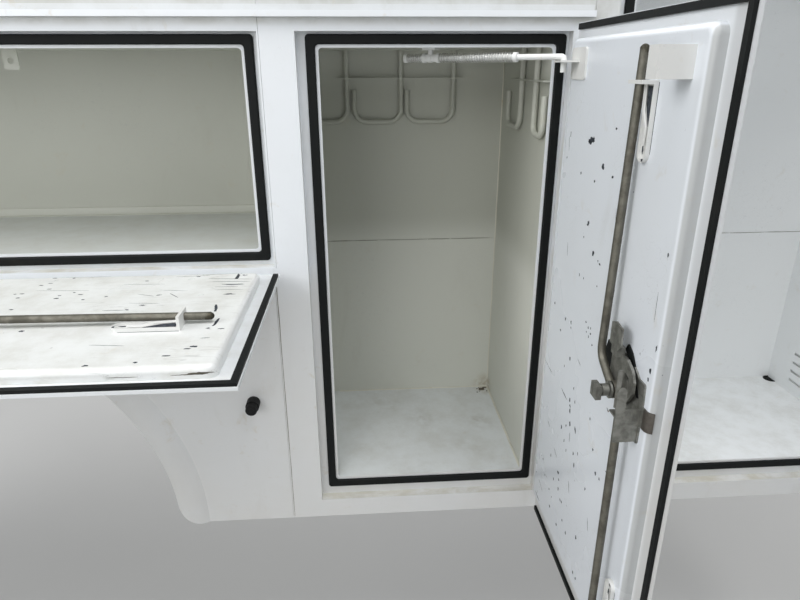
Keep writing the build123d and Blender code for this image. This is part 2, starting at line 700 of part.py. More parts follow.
for name, plane, flip, leaf_dir, v1, y0, y1, ov0, ov1, oy0, oy1, rod_v, rod_end, centre_y in doors:
    low, high = sorted((flip * y0, flip * y1))
    pan_low, pan_high = sorted((flip * (oy0 + pan_inset), flip * (oy1 - pan_inset)))
    pan_edge = ov1 - pan_inset
    latch_v = pan_edge - latch_from_edge
    cy = flip * centre_y
    across = Plane(origin=plane.origin, x_dir=plane.x_dir, z_dir=plane.y_dir)

    with BuildPart() as skin:
        with BuildSketch(plane.offset(skin_w)):
            rect(skin_from_pin, v1, low, high)
            rect(latch_v - dish_width / 2, latch_v + dish_width / 2, cy - dish_length / 2, cy + dish_length / 2,
                 mode=Mode.SUBTRACT)
        extrude(amount=skin_sheet)
        # The door's half of the piano hinge. In this sketch y is minus w.
        for start, end in knuckles(low + hinge_end, high - hinge_end, True):
            with BuildSketch(across.offset(start)):
                rect(0, skin_from_pin + 1, -knuckle_radius, -skin_w)
                disc(0, 0, knuckle_radius)
                disc(0, 0, pin_radius + pin_clear, mode=Mode.SUBTRACT)
            extrude(amount=end - start)
    save(skin.part, f"door_{name}_skin")

    pan_edges = (ov0 + pan_hinge_inset, pan_edge, pan_low, pan_high)
    with BuildPart() as pan:
        with BuildSketch(plane.offset(flange_w)) as pan_outline:
            rect(*pan_edges)
            fillet(pan_outline.vertices(), pan_corner)
        extrude(amount=pan_height)
        fillet(pan.faces().sort_by(Axis(plane.origin, plane.z_dir))[-1].edges(), pan_round)
        with BuildSketch(plane.offset(flange_w)) as hollow:
            rect(*grow(pan_edges, -pan_sheet))
            fillet(hollow.vertices(), pan_corner - pan_sheet)
        extrude(amount=pan_height - pan_round, mode=Mode.SUBTRACT)
        with BuildSketch(plane.offset(pan_w - pan_round)) as hollow_top:
            rect(*grow(pan_edges, -pan_round))
            fillet(hollow_top.vertices(), pan_sheet)
        extrude(amount=pan_round - pan_sheet, mode=Mode.SUBTRACT)
        with BuildSketch(plane.offset(pan_w)):
            disc(latch_v, cy, spindle_radius + seat)
        extrude(amount=-2 * pan_sheet, mode=Mode.SUBTRACT)
    save(pan.part, f"door_{name}_pan")

    with BuildPart() as strip:
        with BuildSketch(plane.offset(flange_w)):
            rect(strip_hinge_gap, v1 - strip_inset, low + strip_inset, high - strip_inset)
            rect(strip_hinge_gap - 1, v1 - strip_inset - strip_width, low + strip_inset + strip_width,
                 high - strip_inset - strip_width, mode=Mode.SUBTRACT)
        extrude(amount=door_gap - seat)
    save(strip.part, f"door_{name}_seal")

    # Rotary latch on the pan: plate, rotor, pivot bolt, rod bracket, and the hood over the pan's rolled edge
    with BuildPart() as latch:
        with BuildSketch(plane.offset(pan_w)) as latch_plate:
            Polygon(*[(latch_v + v, cy + flip * y) for v, y in latch_outline], align=None)
            fillet(latch_plate.vertices(), latch_round)
        extrude(amount=latch_sheet)
        with BuildSketch(plane.offset(pan_w + latch_sheet)):
            disc(latch_v, cy, hub_radius)
        extrude(amount=hub_height)
        with BuildSketch(plane.offset(pan_w + latch_sheet + hub_height)):
            Polygon(*[(latch_v + v, cy + flip * y) for v, y in rotor_outline], align=None)
            Polygon(*[(latch_v + v, cy + flip * y) for v, y in rotor_slot], align=None, mode=Mode.SUBTRACT)
        extrude(amount=rotor_sheet)
        # The rotor's tail, raised off the rotor by a short riser
        with BuildSketch(plane.offset(pan_w + tail_off)):
            Polygon(*[(latch_v + v, cy + flip * y) for v, y in tail_outline], align=None)
        extrude(amount=latch_sheet)
        with BuildSketch(plane.offset(pan_w + latch_sheet + hub_height)):
            rect(latch_v + tail_outline[0][0] + tail_riser, latch_v + tail_outline[1][0],
                 cy + flip * (rotor_outline[1][1] - latch_sheet), cy + flip * (tail_outline[0][1] + latch_sheet))
        extrude(amount=tail_off - hub_height)
        with BuildSketch(plane.offset(pan_w)):
            disc(latch_v, cy, bolt_radius)
        extrude(amount=bolt_top)
        for start, end, radius in bolt_washers:
            with BuildSketch(plane.offset(pan_w + start)):
                disc(latch_v, cy, radius)
            extrude(amount=end - start)
        with BuildSketch(plane.offset(pan_w + bolt_top)):
            rect(latch_v - bolt_head / 2, latch_v + bolt_head / 2, cy - bolt_head / 2, cy + bolt_head / 2)
        extrude(amount=bolt_head_height)
        # Rod bracket: an upright wall with a shelf for the lower rod, and the tongue and stem on its top
        wall = (latch_v + bracket_wall, latch_v + bracket_wall + latch_sheet)
        with BuildSketch(plane.offset(pan_w)):
            rect(*wall, cy - flip * bracket_low, cy - flip * bracket_high)
        extrude(amount=bracket_height + latch_sheet)
        with BuildSketch(plane.offset(pan_w)):
            rect(latch_v + shelf_from, wall[0], cy - flip * shelf_below, cy - flip * (shelf_below + latch_sheet))
        extrude(amount=shelf_height)
        tongue_w = pan_w + bracket_height + tongue_past
        with BuildSketch(plane.offset(tongue_w)):
            rect(*wall, cy - flip * (bracket_high + 1), cy + flip * (tongue_height - tongue_depth / 2))
        extrude(amount=-tongue_depth)
        with BuildSketch(Plane(origin=plane.from_local_coords((wall[0], 0, 0)), x_dir=plane.y_dir,
                               z_dir=plane.x_dir)):
            disc(cy + flip * (tongue_height - tongue_depth / 2), tongue_w - tongue_depth / 2, tongue_depth / 2)
        extrude(amount=latch_sheet)
        stem_w = tongue_w + stem_past - tongue_past
        with BuildSketch(plane.offset(stem_w)):
            rect(wall[0] - latch_sheet, wall[0], cy, cy + flip * stem_height)
        extrude(amount=-stem_depth)
        with BuildSketch(across.offset(cy - flip * shelf_below - 3 * latch_sheet)):
            disc(latch_v + low_rod_offset, -low_rod_w, rod_radius + seat)
        extrude(amount=6 * latch_sheet, both=True, mode=Mode.SUBTRACT)
        with BuildSketch(across.offset(cy - flip * hood_below - hood_length / 2)):
            disc(pan_edge - pan_round, pan_round - pan_w, pan_round + seat + hood_sheet)
            disc(pan_edge - pan_round, pan_round - pan_w, pan_round + seat, mode=Mode.SUBTRACT)
            rect(pan_edge - 3 * pan_round, pan_edge - pan_round, -pan_w, 2 * pan_round - pan_w, mode=Mode.SUBTRACT)
            rect(pan_edge - 3 * pan_round, pan_edge - pan_round, -pan_w - seat - hood_sheet, 2 * pan_round,
                 mode=Mode.SUBTRACT)
            rect(pan_edge - 2 * pan_round, pan_edge + 2 * pan_round, hood_wrap * pan_round - pan_w, 3 * pan_round,
                 mode=Mode.SUBTRACT)
            rect(pan_edge - 2.5 * pan_round, pan_edge - pan_round, -pan_w - seat - hood_sheet, -pan_w - seat)
        extrude(amount=hood_length)
        # Spindle through the pan, dish in the skin, and the paddle in the dish
        with BuildSketch(plane.offset(skin_w + dish_depth - dish_sheet)):
            disc(latch_v, cy, spindle_radius)
        extrude(amount=pan_w - skin_w - dish_depth + dish_sheet)
        dish = (latch_v - dish_width / 2, latch_v + dish_width / 2, cy - dish_length / 2, cy + dish_length / 2)
        with BuildSketch(plane.offset(skin_w)):
            rect(*grow(dish, -seat))
            rect(*grow(dish, -seat - dish_sheet), mode=Mode.SUBTRACT)
        extrude(amount=dish_depth)
        with BuildSketch(plane.offset(skin_w + dish_depth)):
            rect(*grow(dish, -seat))
        extrude(amount=-dish_sheet)
        with BuildSketch(plane.offset(skin_w)):
            rect(latch_v - handle_width / 2, latch_v + handle_width / 2, cy - handle_length / 2,
                 cy + handle_length / 2)
            rect(*grow(dish, -seat - dish_sheet), mode=Mode.SUBTRACT)
        extrude(amount=-handle_sheet)
        with BuildSketch(plane.offset(skin_w + dish_depth - dish_sheet)):
            rect(dish[0] + paddle_margin, dish[1] - paddle_margin, cy + dish_length / 2 - 2 * paddle_margin,
                 cy + dish_length / 2 - paddle_margin)
        extrude(amount=dish_sheet - dish_depth)
        with BuildSketch(plane.offset(skin_w)):
            rect(*grow(dish, -paddle_margin))
        extrude(amount=paddle_sheet)
    save(latch.part, f"latch_{name}")

    # Rods: the first bends from its guide to the pivot bolt, the second runs straight through the bracket
    tip = flip * (oy1 - rod_end)
    low_tip = flip * (oy0 + rod_end)
    low_rod_v = latch_v + low_rod_offset
    corner = cy + flip * rod_corner
    route = [(rod_v, tip, rod_w), (rod_v, corner, rod_latch_w),
             (latch_v - bolt_radius - rod_radius, cy, rod_latch_w)]
    with BuildPart() as rods:
        add(bent_bar([plane.from_local_coords(point) for point in route], rod_radius, rod_bend))
        with BuildSketch(plane.offset(rod_latch_w - eye_height / 2)):
            disc(latch_v, cy, eye_radius)
        extrude(amount=eye_height)
        with BuildSketch(plane.offset(rod_latch_w - 2 * eye_height)):
            disc(latch_v, cy, bolt_radius + seat)
        extrude(amount=4 * eye_height, mode=Mode.SUBTRACT)
        low_start = cy - flip * low_rod_start
        with BuildSketch(across.offset(low_start)):
            disc(low_rod_v, -low_rod_w, rod_radius)
        extrude(amount=low_tip - low_start)
    save(rods.part, f"rods_{name}")

    # Guides with their straps, the strike block of the swing doors, and the door check's plate
    with BuildPart() as guides:
        rise = rod_rise * (guide_reach + guide_sheet / 2) / abs(tip - corner)
        for end, inward, at_v, at_w in ((tip, -flip, rod_v, rod_w + rise), (low_tip, flip, low_rod_v, low_rod_w)):
            guide_y = end + inward * guide_reach
            strap_v = at_v + strap_offset
            with BuildSketch(across.offset(guide_y)):
                rect(at_v - rod_radius - guide_past, strap_v + strap_width / 2, -at_w - rod_radius - guide_past, -pan_w)
                disc(at_v, -at_w, rod_radius + seat, mode=Mode.SUBTRACT)
            extrude(amount=inward * guide_sheet)
            strap_end = guide_y + inward * (strap_length - strap_width / 2)
            for into, start, mode in ((0, 0, Mode.ADD), (strap_sheet, strap_sheet, Mode.SUBTRACT)):
                with BuildSketch(plane.offset(pan_w + start)):
                    rect(strap_v - strap_width / 2 + into, strap_v + strap_width / 2 - into,
                         guide_y + inward * (guide_sheet - seat + into), strap_end)
                    disc(strap_v, strap_end, strap_width / 2 - into)
                extrude(amount=strap_height - start, mode=mode)
        if name != "wheel":
            block_v = pan_edge - block_from_edge
            with BuildSketch(across.offset(tip)):
                rect(block_v, block_v + block_width, -pan_w - block_height, -pan_w)
                rect(block_v + block_sheet, block_v + block_width - block_sheet, -pan_w - block_height + block_sheet,
                     -pan_w - block_sheet, mode=Mode.SUBTRACT)
            extrude(amount=-flip * block_length)
        if name == "mid":
            plate_y = low_opening_top - pan_inset - pan_round - check_plate_below - check_plate_width
            with BuildSketch(plane.offset(pan_w)) as check_plate:
                rect(check_plate_v0, check_plate_v0 + check_plate_length, plate_y, plate_y + check_plate_width)
                fillet(check_plate.vertices(), 2 * check_plate_sheet)
            extrude(amount=check_plate_sheet)
            with BuildSketch(Plane(origin=plane.origin, x_dir=plane.x_dir, z_dir=plane.y_dir)
                             .offset(check_z - check_shelf_below)):
                rect(check_plate_v0, check_plate_v0 + check_shelf_length, -pan_w - check_shelf_reach, -pan_w)
                disc(check_pin_v, -check_pin_w, check_rod_radius + seat, mode=Mode.SUBTRACT)
            extrude(amount=-check_plate_sheet)
    save(guides.part, f"guides_{name}")

    # The cabinet's half of the hinge, with the pin: its leaf lies on the face, away from the door
    fixed = Plane(origin=plane.origin, x_dir=leaf_dir, z_dir=plane.y_dir)
    inward = 1 if fixed.y_dir.Y > 0 else -1
    start, end = low + hinge_end, high - hinge_end
    with BuildPart() as hinge:
        with BuildSketch(fixed.offset(start)):
            rect(leaf_sheet, hinge_leaf, inward * (pin_out - leaf_sheet), inward * pin_out)
        extrude(amount=end - start)
        with BuildSketch(fixed.offset(start)):
            Circle(pin_radius)
        extrude(amount=end - start)
        for knuckle_start, knuckle_end in knuckles(start, end, False):
            with BuildSketch(fixed.offset(knuckle_start)):
                Circle(knuckle_radius)
                rect(leaf_sheet, 2 * leaf_sheet, 0, inward * pin_out)
            extrude(amount=knuckle_end - knuckle_start)
    save(hinge.part, f"hinge_{name}")

# Door check of the middle door: rod with its tail stop and collar, swivel under the ceiling, springs
eye = (mid_x1 - check_eye_from_edge, face_y + check_eye_in)
door_pin = (mid_pin_x - check_pin_w, pin_y - check_pin_v)
check_angle = atan2(door_pin[1] - eye[1], door_pin[0] - eye[0])
check_length = hypot(door_pin[0] - eye[0], door_pin[1] - eye[1])
along = (cos(check_angle), sin(check_angle), 0)
eye_plane = Plane(origin=(eye[0], eye[1], check_z), x_dir=(0, 0, 1), z_dir=along)
rod_plane = Plane(origin=(eye[0], eye[1], check_z), x_dir=along, z_dir=(sin(check_angle), -cos(check_angle), 0))
with BuildPart() as check_rod:
    route = [(-check_tail, 0, 0), (check_length, 0, 0), (check_length, -check_drop, 0)]
    add(bent_bar([rod_plane.from_local_coords(point) for point in route], check_rod_radius, check_bend))
    for at in (-check_tail, check_collar_at):
        with BuildSketch(eye_plane.offset(at)):
            Circle(check_collar_radius)
        extrude(amount=check_collar_length)
save(check_rod.part, "check_rod")

with BuildPart() as check_swivel:
    with BuildSketch(eye_plane.offset(-cup_tail)):
        Circle(swivel_tube)
    extrude(amount=cup_tail + cup_front)
    for at in (-cup_tail, cup_front - cup_length):
        with BuildSketch(eye_plane.offset(at)):
            Circle(cup_radius)
        extrude(amount=cup_length)
    with BuildSketch(eye_plane.offset(-swivel_half)):
        Circle(swivel_radius)
    extrude(amount=2 * swivel_half)
    flange_z = low_ceiling_z - 1 - check_z
    with BuildSketch(eye_plane.offset(-swivel_neck / 2)):
        rect(0, flange_z, -swivel_neck / 2, swivel_neck / 2)
    extrude(amount=swivel_neck)
    with BuildSketch(eye_plane.offset(-swivel_block_width / 2)):
        rect(flange_z - swivel_block_height, flange_z, -swivel_block / 2, swivel_block / 2)
    extrude(amount=swivel_block_width)
    with BuildSketch(eye_plane.offset(-swivel_flange_width / 2)):
        rect(flange_z - sheet, flange_z, -swivel_flange / 2, swivel_flange / 2)
    extrude(amount=swivel_flange_width)
    with BuildSketch(eye_plane.offset(-cup_tail)):
        Circle(check_rod_radius + seat)
    extrude(amount=cup_tail + cup_front, mode=Mode.SUBTRACT)
save(check_swivel.part, "check_swivel")

springs = [
    ("check_spring_short", -check_tail + check_collar_length + seat, -cup_tail - seat),
    ("check_spring_long", cup_front + seat, check_collar_at - seat),
]
for name, start, end in springs:
    with BuildPart() as spring:
        with BuildSketch(eye_plane.offset(start)):
            Circle(spring_radius)
            Circle(spring_bore, mode=Mode.SUBTRACT)
        extrude(amount=end - start)
    save(spring.part, name)
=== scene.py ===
import json
import math
import random

import bmesh
import bpy
from mathutils import Matrix, Vector


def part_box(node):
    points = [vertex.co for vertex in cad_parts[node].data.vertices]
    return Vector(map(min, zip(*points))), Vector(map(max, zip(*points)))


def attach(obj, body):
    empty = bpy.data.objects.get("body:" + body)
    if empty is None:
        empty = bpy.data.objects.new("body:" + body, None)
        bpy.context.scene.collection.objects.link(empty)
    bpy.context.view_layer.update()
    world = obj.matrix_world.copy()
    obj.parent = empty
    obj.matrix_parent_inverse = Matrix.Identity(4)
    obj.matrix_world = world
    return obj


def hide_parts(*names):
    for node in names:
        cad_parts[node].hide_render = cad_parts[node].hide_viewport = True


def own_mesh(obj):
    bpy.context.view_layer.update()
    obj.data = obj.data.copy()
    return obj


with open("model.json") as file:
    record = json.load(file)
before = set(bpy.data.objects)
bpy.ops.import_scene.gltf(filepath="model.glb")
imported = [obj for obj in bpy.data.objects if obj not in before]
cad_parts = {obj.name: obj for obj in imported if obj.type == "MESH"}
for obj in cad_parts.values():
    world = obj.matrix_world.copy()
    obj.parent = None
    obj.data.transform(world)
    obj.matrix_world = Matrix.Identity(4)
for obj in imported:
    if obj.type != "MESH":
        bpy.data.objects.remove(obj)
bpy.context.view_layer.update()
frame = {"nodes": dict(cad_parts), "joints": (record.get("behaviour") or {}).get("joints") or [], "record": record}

MM = 0.001

# Camera: where the photograph was taken from, solved from the cabinet's straight edges
CAMERA_AT = (0.505, -1.616, 0.415)
CAMERA_LENS = 27.357
CAMERA_SENSOR = 36.0
CAMERA_CLIP = 0.02
CAMERA_PITCH = 20.99
CAMERA_YAW = 3.70
CAMERA_ROLL = -0.21
GROUND_Z = -1.320

# Places that part.py fixes, in metres
FACE_Y = -0.466
INNER_Y = -0.043
FLOOR_Z = -0.470
WHEEL_FLOOR_Z = 0.064
SEAM_Z = -0.016
CHECK_EYE = Vector((0.645, -0.381, 0.430))
CHECK_PIN = Vector((0.8543, -0.532, 0.430))

JOINTS = {joint["name"]: joint for joint in frame["joints"]}


def node(name):
    return frame["nodes"][name]


# Doors: v runs from the hinge pin to the free edge, y along the pin, w into the cabinet when closed
DOOR_AXES = {
    "rear": ((1, 0, 0), (0, 0, -1), (0, 1, 0)),
    "wheel": ((0, -1, 0), (1, 0, 0), (0, 0, 1)),
    "mid": ((0, -1, 0), (0, 0, 1), (-1, 0, 0)),
    "front": ((0, -1, 0), (0, 0, 1), (-1, 0, 0)),
}
DOORS = tuple(DOOR_AXES)


def door_matrix(name):
    """From a door's v, y and w, in metres, to the row frame."""
    v, y, w = (Vector(axis) for axis in DOOR_AXES[name])
    pin = Vector(JOINTS[f"door_{name}_hinge"]["pos_m"])
    matrix = Matrix((v, y, w)).transposed().to_4x4()
    matrix.translation = pin
    return matrix


def node_span(name, matrix):
    """Lowest and highest corner of a node in a door's own axes."""
    back = matrix.inverted()
    points = [back @ vertex.co for vertex in node(name).data.vertices]
    low = Vector(min(p[i] for p in points) for i in range(3))
    high = Vector(max(p[i] for p in points) for i in range(3))
    return low, high


# Shader helper
class Shader:
    """A material whose nodes are added by short calls; every input may be a number, a colour or a socket."""

    def __init__(self, name):
        self.material = bpy.data.materials.new(name)
        self.material.use_nodes = True
        self.tree = self.material.node_tree
        self.bsdf = self.tree.nodes["Principled BSDF"]
        coordinates = self.node("ShaderNodeTexCoord")
        self.place = coordinates.outputs["Object"]
        split = self.node("ShaderNodeSeparateXYZ")
        self.join(self.place, split.inputs[0])
        self.x, self.y, self.z = split.outputs
        geometry = self.node("ShaderNodeNewGeometry")
        facing = self.node("ShaderNodeSeparateXYZ")
        self.join(geometry.outputs["Normal"], facing.inputs[0])
        self.facing_up = facing.outputs[2]

    def node(self, kind, **settings):
        made = self.tree.nodes.new(kind)
        for key, value in settings.items():
            setattr(made, key, value)
        return made

    def join(self, value, socket):
        if isinstance(value, bpy.types.NodeSocket):
            self.tree.links.new(value, socket)
        elif isinstance(value, (tuple, list)) and len(value) == 3 and socket.type == "RGBA":
            socket.default_value = (*value, 1.0)
        else:
            socket.default_value = value

    def math(self, operation, a, b=0.0):
        made = self.node("ShaderNodeMath", operation=operation)
        self.join(a, made.inputs[0])
        self.join(b, made.inputs[1])
        return made.outputs[0]

    def times(self, a, b):
        return self.math("MULTIPLY", a, b)

    def rest(self, value):
        """What a value leaves of 1."""
        return self.math("SUBTRACT", 1.0, value)

    def scaled(self, stretch):
        mapping = self.node("ShaderNodeMapping")
        self.join(self.place, mapping.inputs["Vector"])
        mapping.inputs["Scale"].default_value = stretch
        return mapping.outputs[0]

    def noise(self, scale, detail=3.0, rough=0.5, distort=0.0, stretch=None, offset=0.0):
        made = self.node("ShaderNodeTexNoise", noise_dimensions="4D")
        self.join(self.scaled(stretch) if stretch else self.place, made.inputs["Vector"])
        made.inputs["W"].default_value = offset
        made.inputs["Scale"].default_value = scale
        made.inputs["Detail"].default_value = detail
        made.inputs["Roughness"].default_value = rough
        made.inputs["Distortion"].default_value = distort
        return made.outputs[0]

    def step(self, value, low, high):
        """0 below low, 1 above high, smooth between."""
        made = self.node("ShaderNodeMapRange", interpolation_type="SMOOTHSTEP")
        self.join(value, made.inputs["Value"])
        made.inputs["From Min"].default_value = low
        made.inputs["From Max"].default_value = high
        return made.outputs[0]

    def near(self, value, at, width):
        """1 at a value, falling to 0 this far from it."""
        away = self.math("ABSOLUTE", self.math("SUBTRACT", value, at))
        return self.rest(self.step(away, 0.0, width))

    def between(self, value, low, high, soft):
        """1 inside a band, falling to 0 over a soft edge."""
        return self.times(self.step(value, low - soft, low + soft),
                          self.rest(self.step(value, high - soft, high + soft)))

    def spot(self, at, inner, outer):
        """1 near a place in the row frame, falling to 0 from the inner to the outer radius."""
        made = self.node("ShaderNodeVectorMath", operation="DISTANCE")
        self.join(self.place, made.inputs[0])
        made.inputs[1].default_value = at
        return self.rest(self.step(made.outputs["Value"], inner, outer))

    def mix(self, factor, a, b):
        made = self.node("ShaderNodeMix", data_type="RGBA")
        self.join(factor, made.inputs[0])
        self.join(a, made.inputs[6])
        self.join(b, made.inputs[7])
        return made.outputs[2]

    def tint(self, colour, mask, amount, over):
        """Lays another colour over a colour where the mask is 1, by this amount."""
        return self.mix(self.times(mask, amount), colour, over)

    def blend(self, factor, a, b):
        made = self.node("ShaderNodeMix", data_type="FLOAT")
        self.join(factor, made.inputs[0])
        self.join(a, made.inputs[2])
        self.join(b, made.inputs[3])
        return made.outputs[0]

    def bump(self, *layers):
        """Each layer is a height, a strength and a distance in metres."""
        normal = None
        for height, strength, distance in layers:
            made = self.node("ShaderNodeBump")
            made.inputs["Strength"].default_value = strength
            made.inputs["Distance"].default_value = distance
            self.join(height, made.inputs["Height"])
            if normal is not None:
                self.join(normal, made.inputs["Normal"])
            normal = made.outputs[0]
        self.join(normal, self.bsdf.inputs["Normal"])

    def set(self, **values):
        for key, value in values.items():
            self.join(value, self.bsdf.inputs[key.replace("_", " ")])


# Colours of the paint, of what lies on it or shows through it, and of painted light and shade on it
WHITE = (0.80, 0.83, 0.86)
RAISED_BAY_LIT_WHITE = (0.86, 0.88, 0.885)
DROP_WHITE = (0.80, 0.812, 0.795)
BACK_WHITE = (0.72, 0.74, 0.75)
GRIME = (0.42, 0.40, 0.33)
STAIN = (0.52, 0.42, 0.24)
PRIMER = (0.10, 0.11, 0.13)
RUST = (0.20, 0.13, 0.08)
DUST = (0.56, 0.56, 0.52)
SCRATCH = (0.36, 0.37, 0.38)
RUBBED = (0.34, 0.35, 0.34)
SMUDGE = (0.33, 0.31, 0.25)
WHEEL_BAY_SHADE = (0.30, 0.31, 0.25)
UPPER_WALL_SHADE = (0.27, 0.28, 0.22)
FENDER_WARM_TINT = (0.68, 0.63, 0.54)
CORNER_RUST = (0.32, 0.24, 0.11)
GUTTER_GRIME = (0.50, 0.47, 0.36)
SILL_GRIME = (0.46, 0.43, 0.30)
RAIL_GRIME_AND_SHADOW = (0.36, 0.35, 0.29)
EDGE_GRIME = (0.40, 0.36, 0.24)
HOOD_PAINTED_SHADE = (0.075, 0.06, 0.05)
RIM_SHADE = (0.52, 0.53, 0.54)
ROLL_SHADE = (0.42, 0.43, 0.42)
RUBBER_DUST = (0.10, 0.10, 0.09)
STEEL_STAIN = (0.24, 0.17, 0.10)

# Where a zone begins or ends, as the two ends of its soft edge
BACK_OUTSIDE_Y = (-0.0420, -0.0414)
RAISED_BAY_X = (0.93, 0.96)
WHEEL_BAY_X = (0.30, 0.34)
WHEEL_BAY_LOW_Z = (0.10, 0.32)
FENDER_Z = (-0.05, 0.06)
DROP_REAR_X = (-1.22, -1.19)
DROP_FRONT_X = (0.33, 0.36)
RIM_Y = (-0.962, -0.952)

# Zones between a low and a high place
MID_BAY_X = (0.400, 0.880)
UPPER_WALL_Z = (0.010, 0.390)
GUTTER_Y = (FACE_Y + 0.0012, -0.4435)
RAIL_Y = (FACE_Y - 0.002, -0.456)
RAIL_Z = (0.484, 0.540)
RIM_X = (0.870, 0.905)
ROLL_X = (0.83, 0.905)
ROLL_Y = (-0.9535, -0.9480)
DROP_EDGE_Y = (-0.935, -0.893)
HOOD_X = (0.82, 0.90)
HOOD_Y = (-0.9560, -0.9385)

# Middle bay's rusty corner, and the smudges on its floor as place, radius and amount
RUSTY_CORNER = (0.862, -0.050, -0.468)
FLOOR_SMUDGES = (
    ((0.655, -0.205, -0.470), 0.070, 0.55),
    ((0.800, -0.230, -0.470), 0.060, 0.65),
    ((0.560, -0.120, -0.470), 0.130, 0.30),
    ((0.745, -0.330, -0.470), 0.110, 0.30),
)


def inside_zones(s, colour):
    """Painted light makes the raised bay paler, and painted shade darkens the bay over the wheel, most of all low
    down, and the middle bay's upper walls.
    """
    outside = s.step(s.y, *BACK_OUTSIDE_Y)
    inside = s.rest(outside)
    colour = s.mix(outside, colour, BACK_WHITE)
    # Painted light: the raised bay is paler.
    lit_bay = s.times(s.step(s.x, *RAISED_BAY_X), inside)
    # Painted shade: the bay over the wheel is darker, the more so low down.
    shaded_bay = s.times(s.rest(s.step(s.x, *WHEEL_BAY_X)), inside)
    low = s.rest(s.step(s.z, *WHEEL_BAY_LOW_Z))
    colour = s.mix(lit_bay, colour, RAISED_BAY_LIT_WHITE)
    tint_strength = s.math("ADD", 0.12, s.times(low, 0.22))
    colour = s.tint(colour, shaded_bay, tint_strength, WHEEL_BAY_SHADE)
    middle = s.times(s.between(s.x, *MID_BAY_X, 0.004), inside)
    # Painted shade on the middle bay's upper walls.
    upper = s.times(middle, s.between(s.z, *UPPER_WALL_Z, 0.045))
    colour = s.tint(colour, upper, 0.42, UPPER_WALL_SHADE)
    corner = s.times(s.spot(RUSTY_CORNER, 0.004, 0.055), s.step(s.noise(80.0, 4.0), 0.35, 0.6))
    colour = s.tint(colour, corner, 0.6, CORNER_RUST)
    for at, radius, amount in FLOOR_SMUDGES:
        smudge = s.times(s.spot(at, 0.0, radius), s.step(s.noise(24.0, 4.0, 0.6, 0.3), 0.30, 0.75))
        colour = s.tint(colour, smudge, amount, SMUDGE)
    return colour


def body_zones(s, colour):
    """Grime in the gutters and on the sills, grime and painted shadow under the drip rail, painted shade on the
    door rim, and a warm, darker tint low on the fender.
    """
    gutter = s.between(s.y, *GUTTER_Y, 0.0008)
    cloud = s.step(s.noise(26.0, 5.0, 0.65, 0.5, stretch=(0.5, 1.0, 0.5)), 0.38, 0.68)
    sill = s.times(gutter, s.step(s.facing_up, 0.6, 0.9))
    colour = s.tint(colour, s.times(gutter, cloud), 0.45, GUTTER_GRIME)
    colour = s.tint(colour, sill, s.blend(cloud, 0.10, 0.42), SILL_GRIME)
    # Grime and painted shadow under the drip rail.
    rail = s.times(s.between(s.z, *RAIL_Z, 0.006), s.between(s.y, *RAIL_Y, 0.001))
    colour = s.tint(colour, rail, s.blend(cloud, 0.35, 0.6), RAIL_GRIME_AND_SHADOW)
    # Painted shade on the door rim.
    rim = s.times(s.between(s.x, *RIM_X, 0.002), s.rest(s.step(s.y, *RIM_Y)))
    colour = s.tint(colour, rim, 0.6, RIM_SHADE)
    # A warm, darker tint low on the fender.
    fender = s.rest(s.step(s.z, *FENDER_Z))
    tint_strength = s.step(s.noise(4.0, 4.0, 0.6), 0.35, 0.75)
    return s.tint(colour, fender, s.blend(tint_strength, 0.22, 0.38), FENDER_WARM_TINT)


def pan_zones(s, colour):
    """Rubbed scratches and brown grime on the drop door's pan, and the shaded roll of the middle one's."""
    drop = s.times(s.rest(s.step(s.x, *DROP_FRONT_X)), s.step(s.x, *DROP_REAR_X))
    colour = s.tint(colour, drop, 0.85, DROP_WHITE)
    lines = s.noise(60.0, 3.0, 0.5, 0.2, stretch=(0.10, 1.0, 1.0), offset=12.0)
    patch = s.step(s.noise(6.0, 3.0, 0.5, offset=14.0), 0.42, 0.6)
    fine = s.times(s.near(lines, 0.5, 0.012), s.times(patch, drop))
    colour = s.tint(colour, fine, 0.45, RUBBED)
    roll = s.times(s.between(s.y, *ROLL_Y, 0.0015), s.between(s.x, *ROLL_X, 0.002))
    colour = s.tint(colour, roll, 0.75, ROLL_SHADE)
    edge = s.times(s.between(s.y, *DROP_EDGE_Y, 0.008), drop)
    grime = s.step(s.noise(9.0, 5.0, 0.7, stretch=(0.5, 1.0, 1.0), offset=15.0), 0.42, 0.62)
    return s.tint(colour, s.times(edge, grime), 0.55, EDGE_GRIME)


def hood_zones(s, colour):
    """The hood of the middle door's latch is darkened with painted shade."""
    hood = s.times(s.between(s.y, *HOOD_Y, 0.001), s.between(s.x, *HOOD_X, 0.002))
    return s.tint(colour, hood, 0.75, HOOD_PAINTED_SHADE)


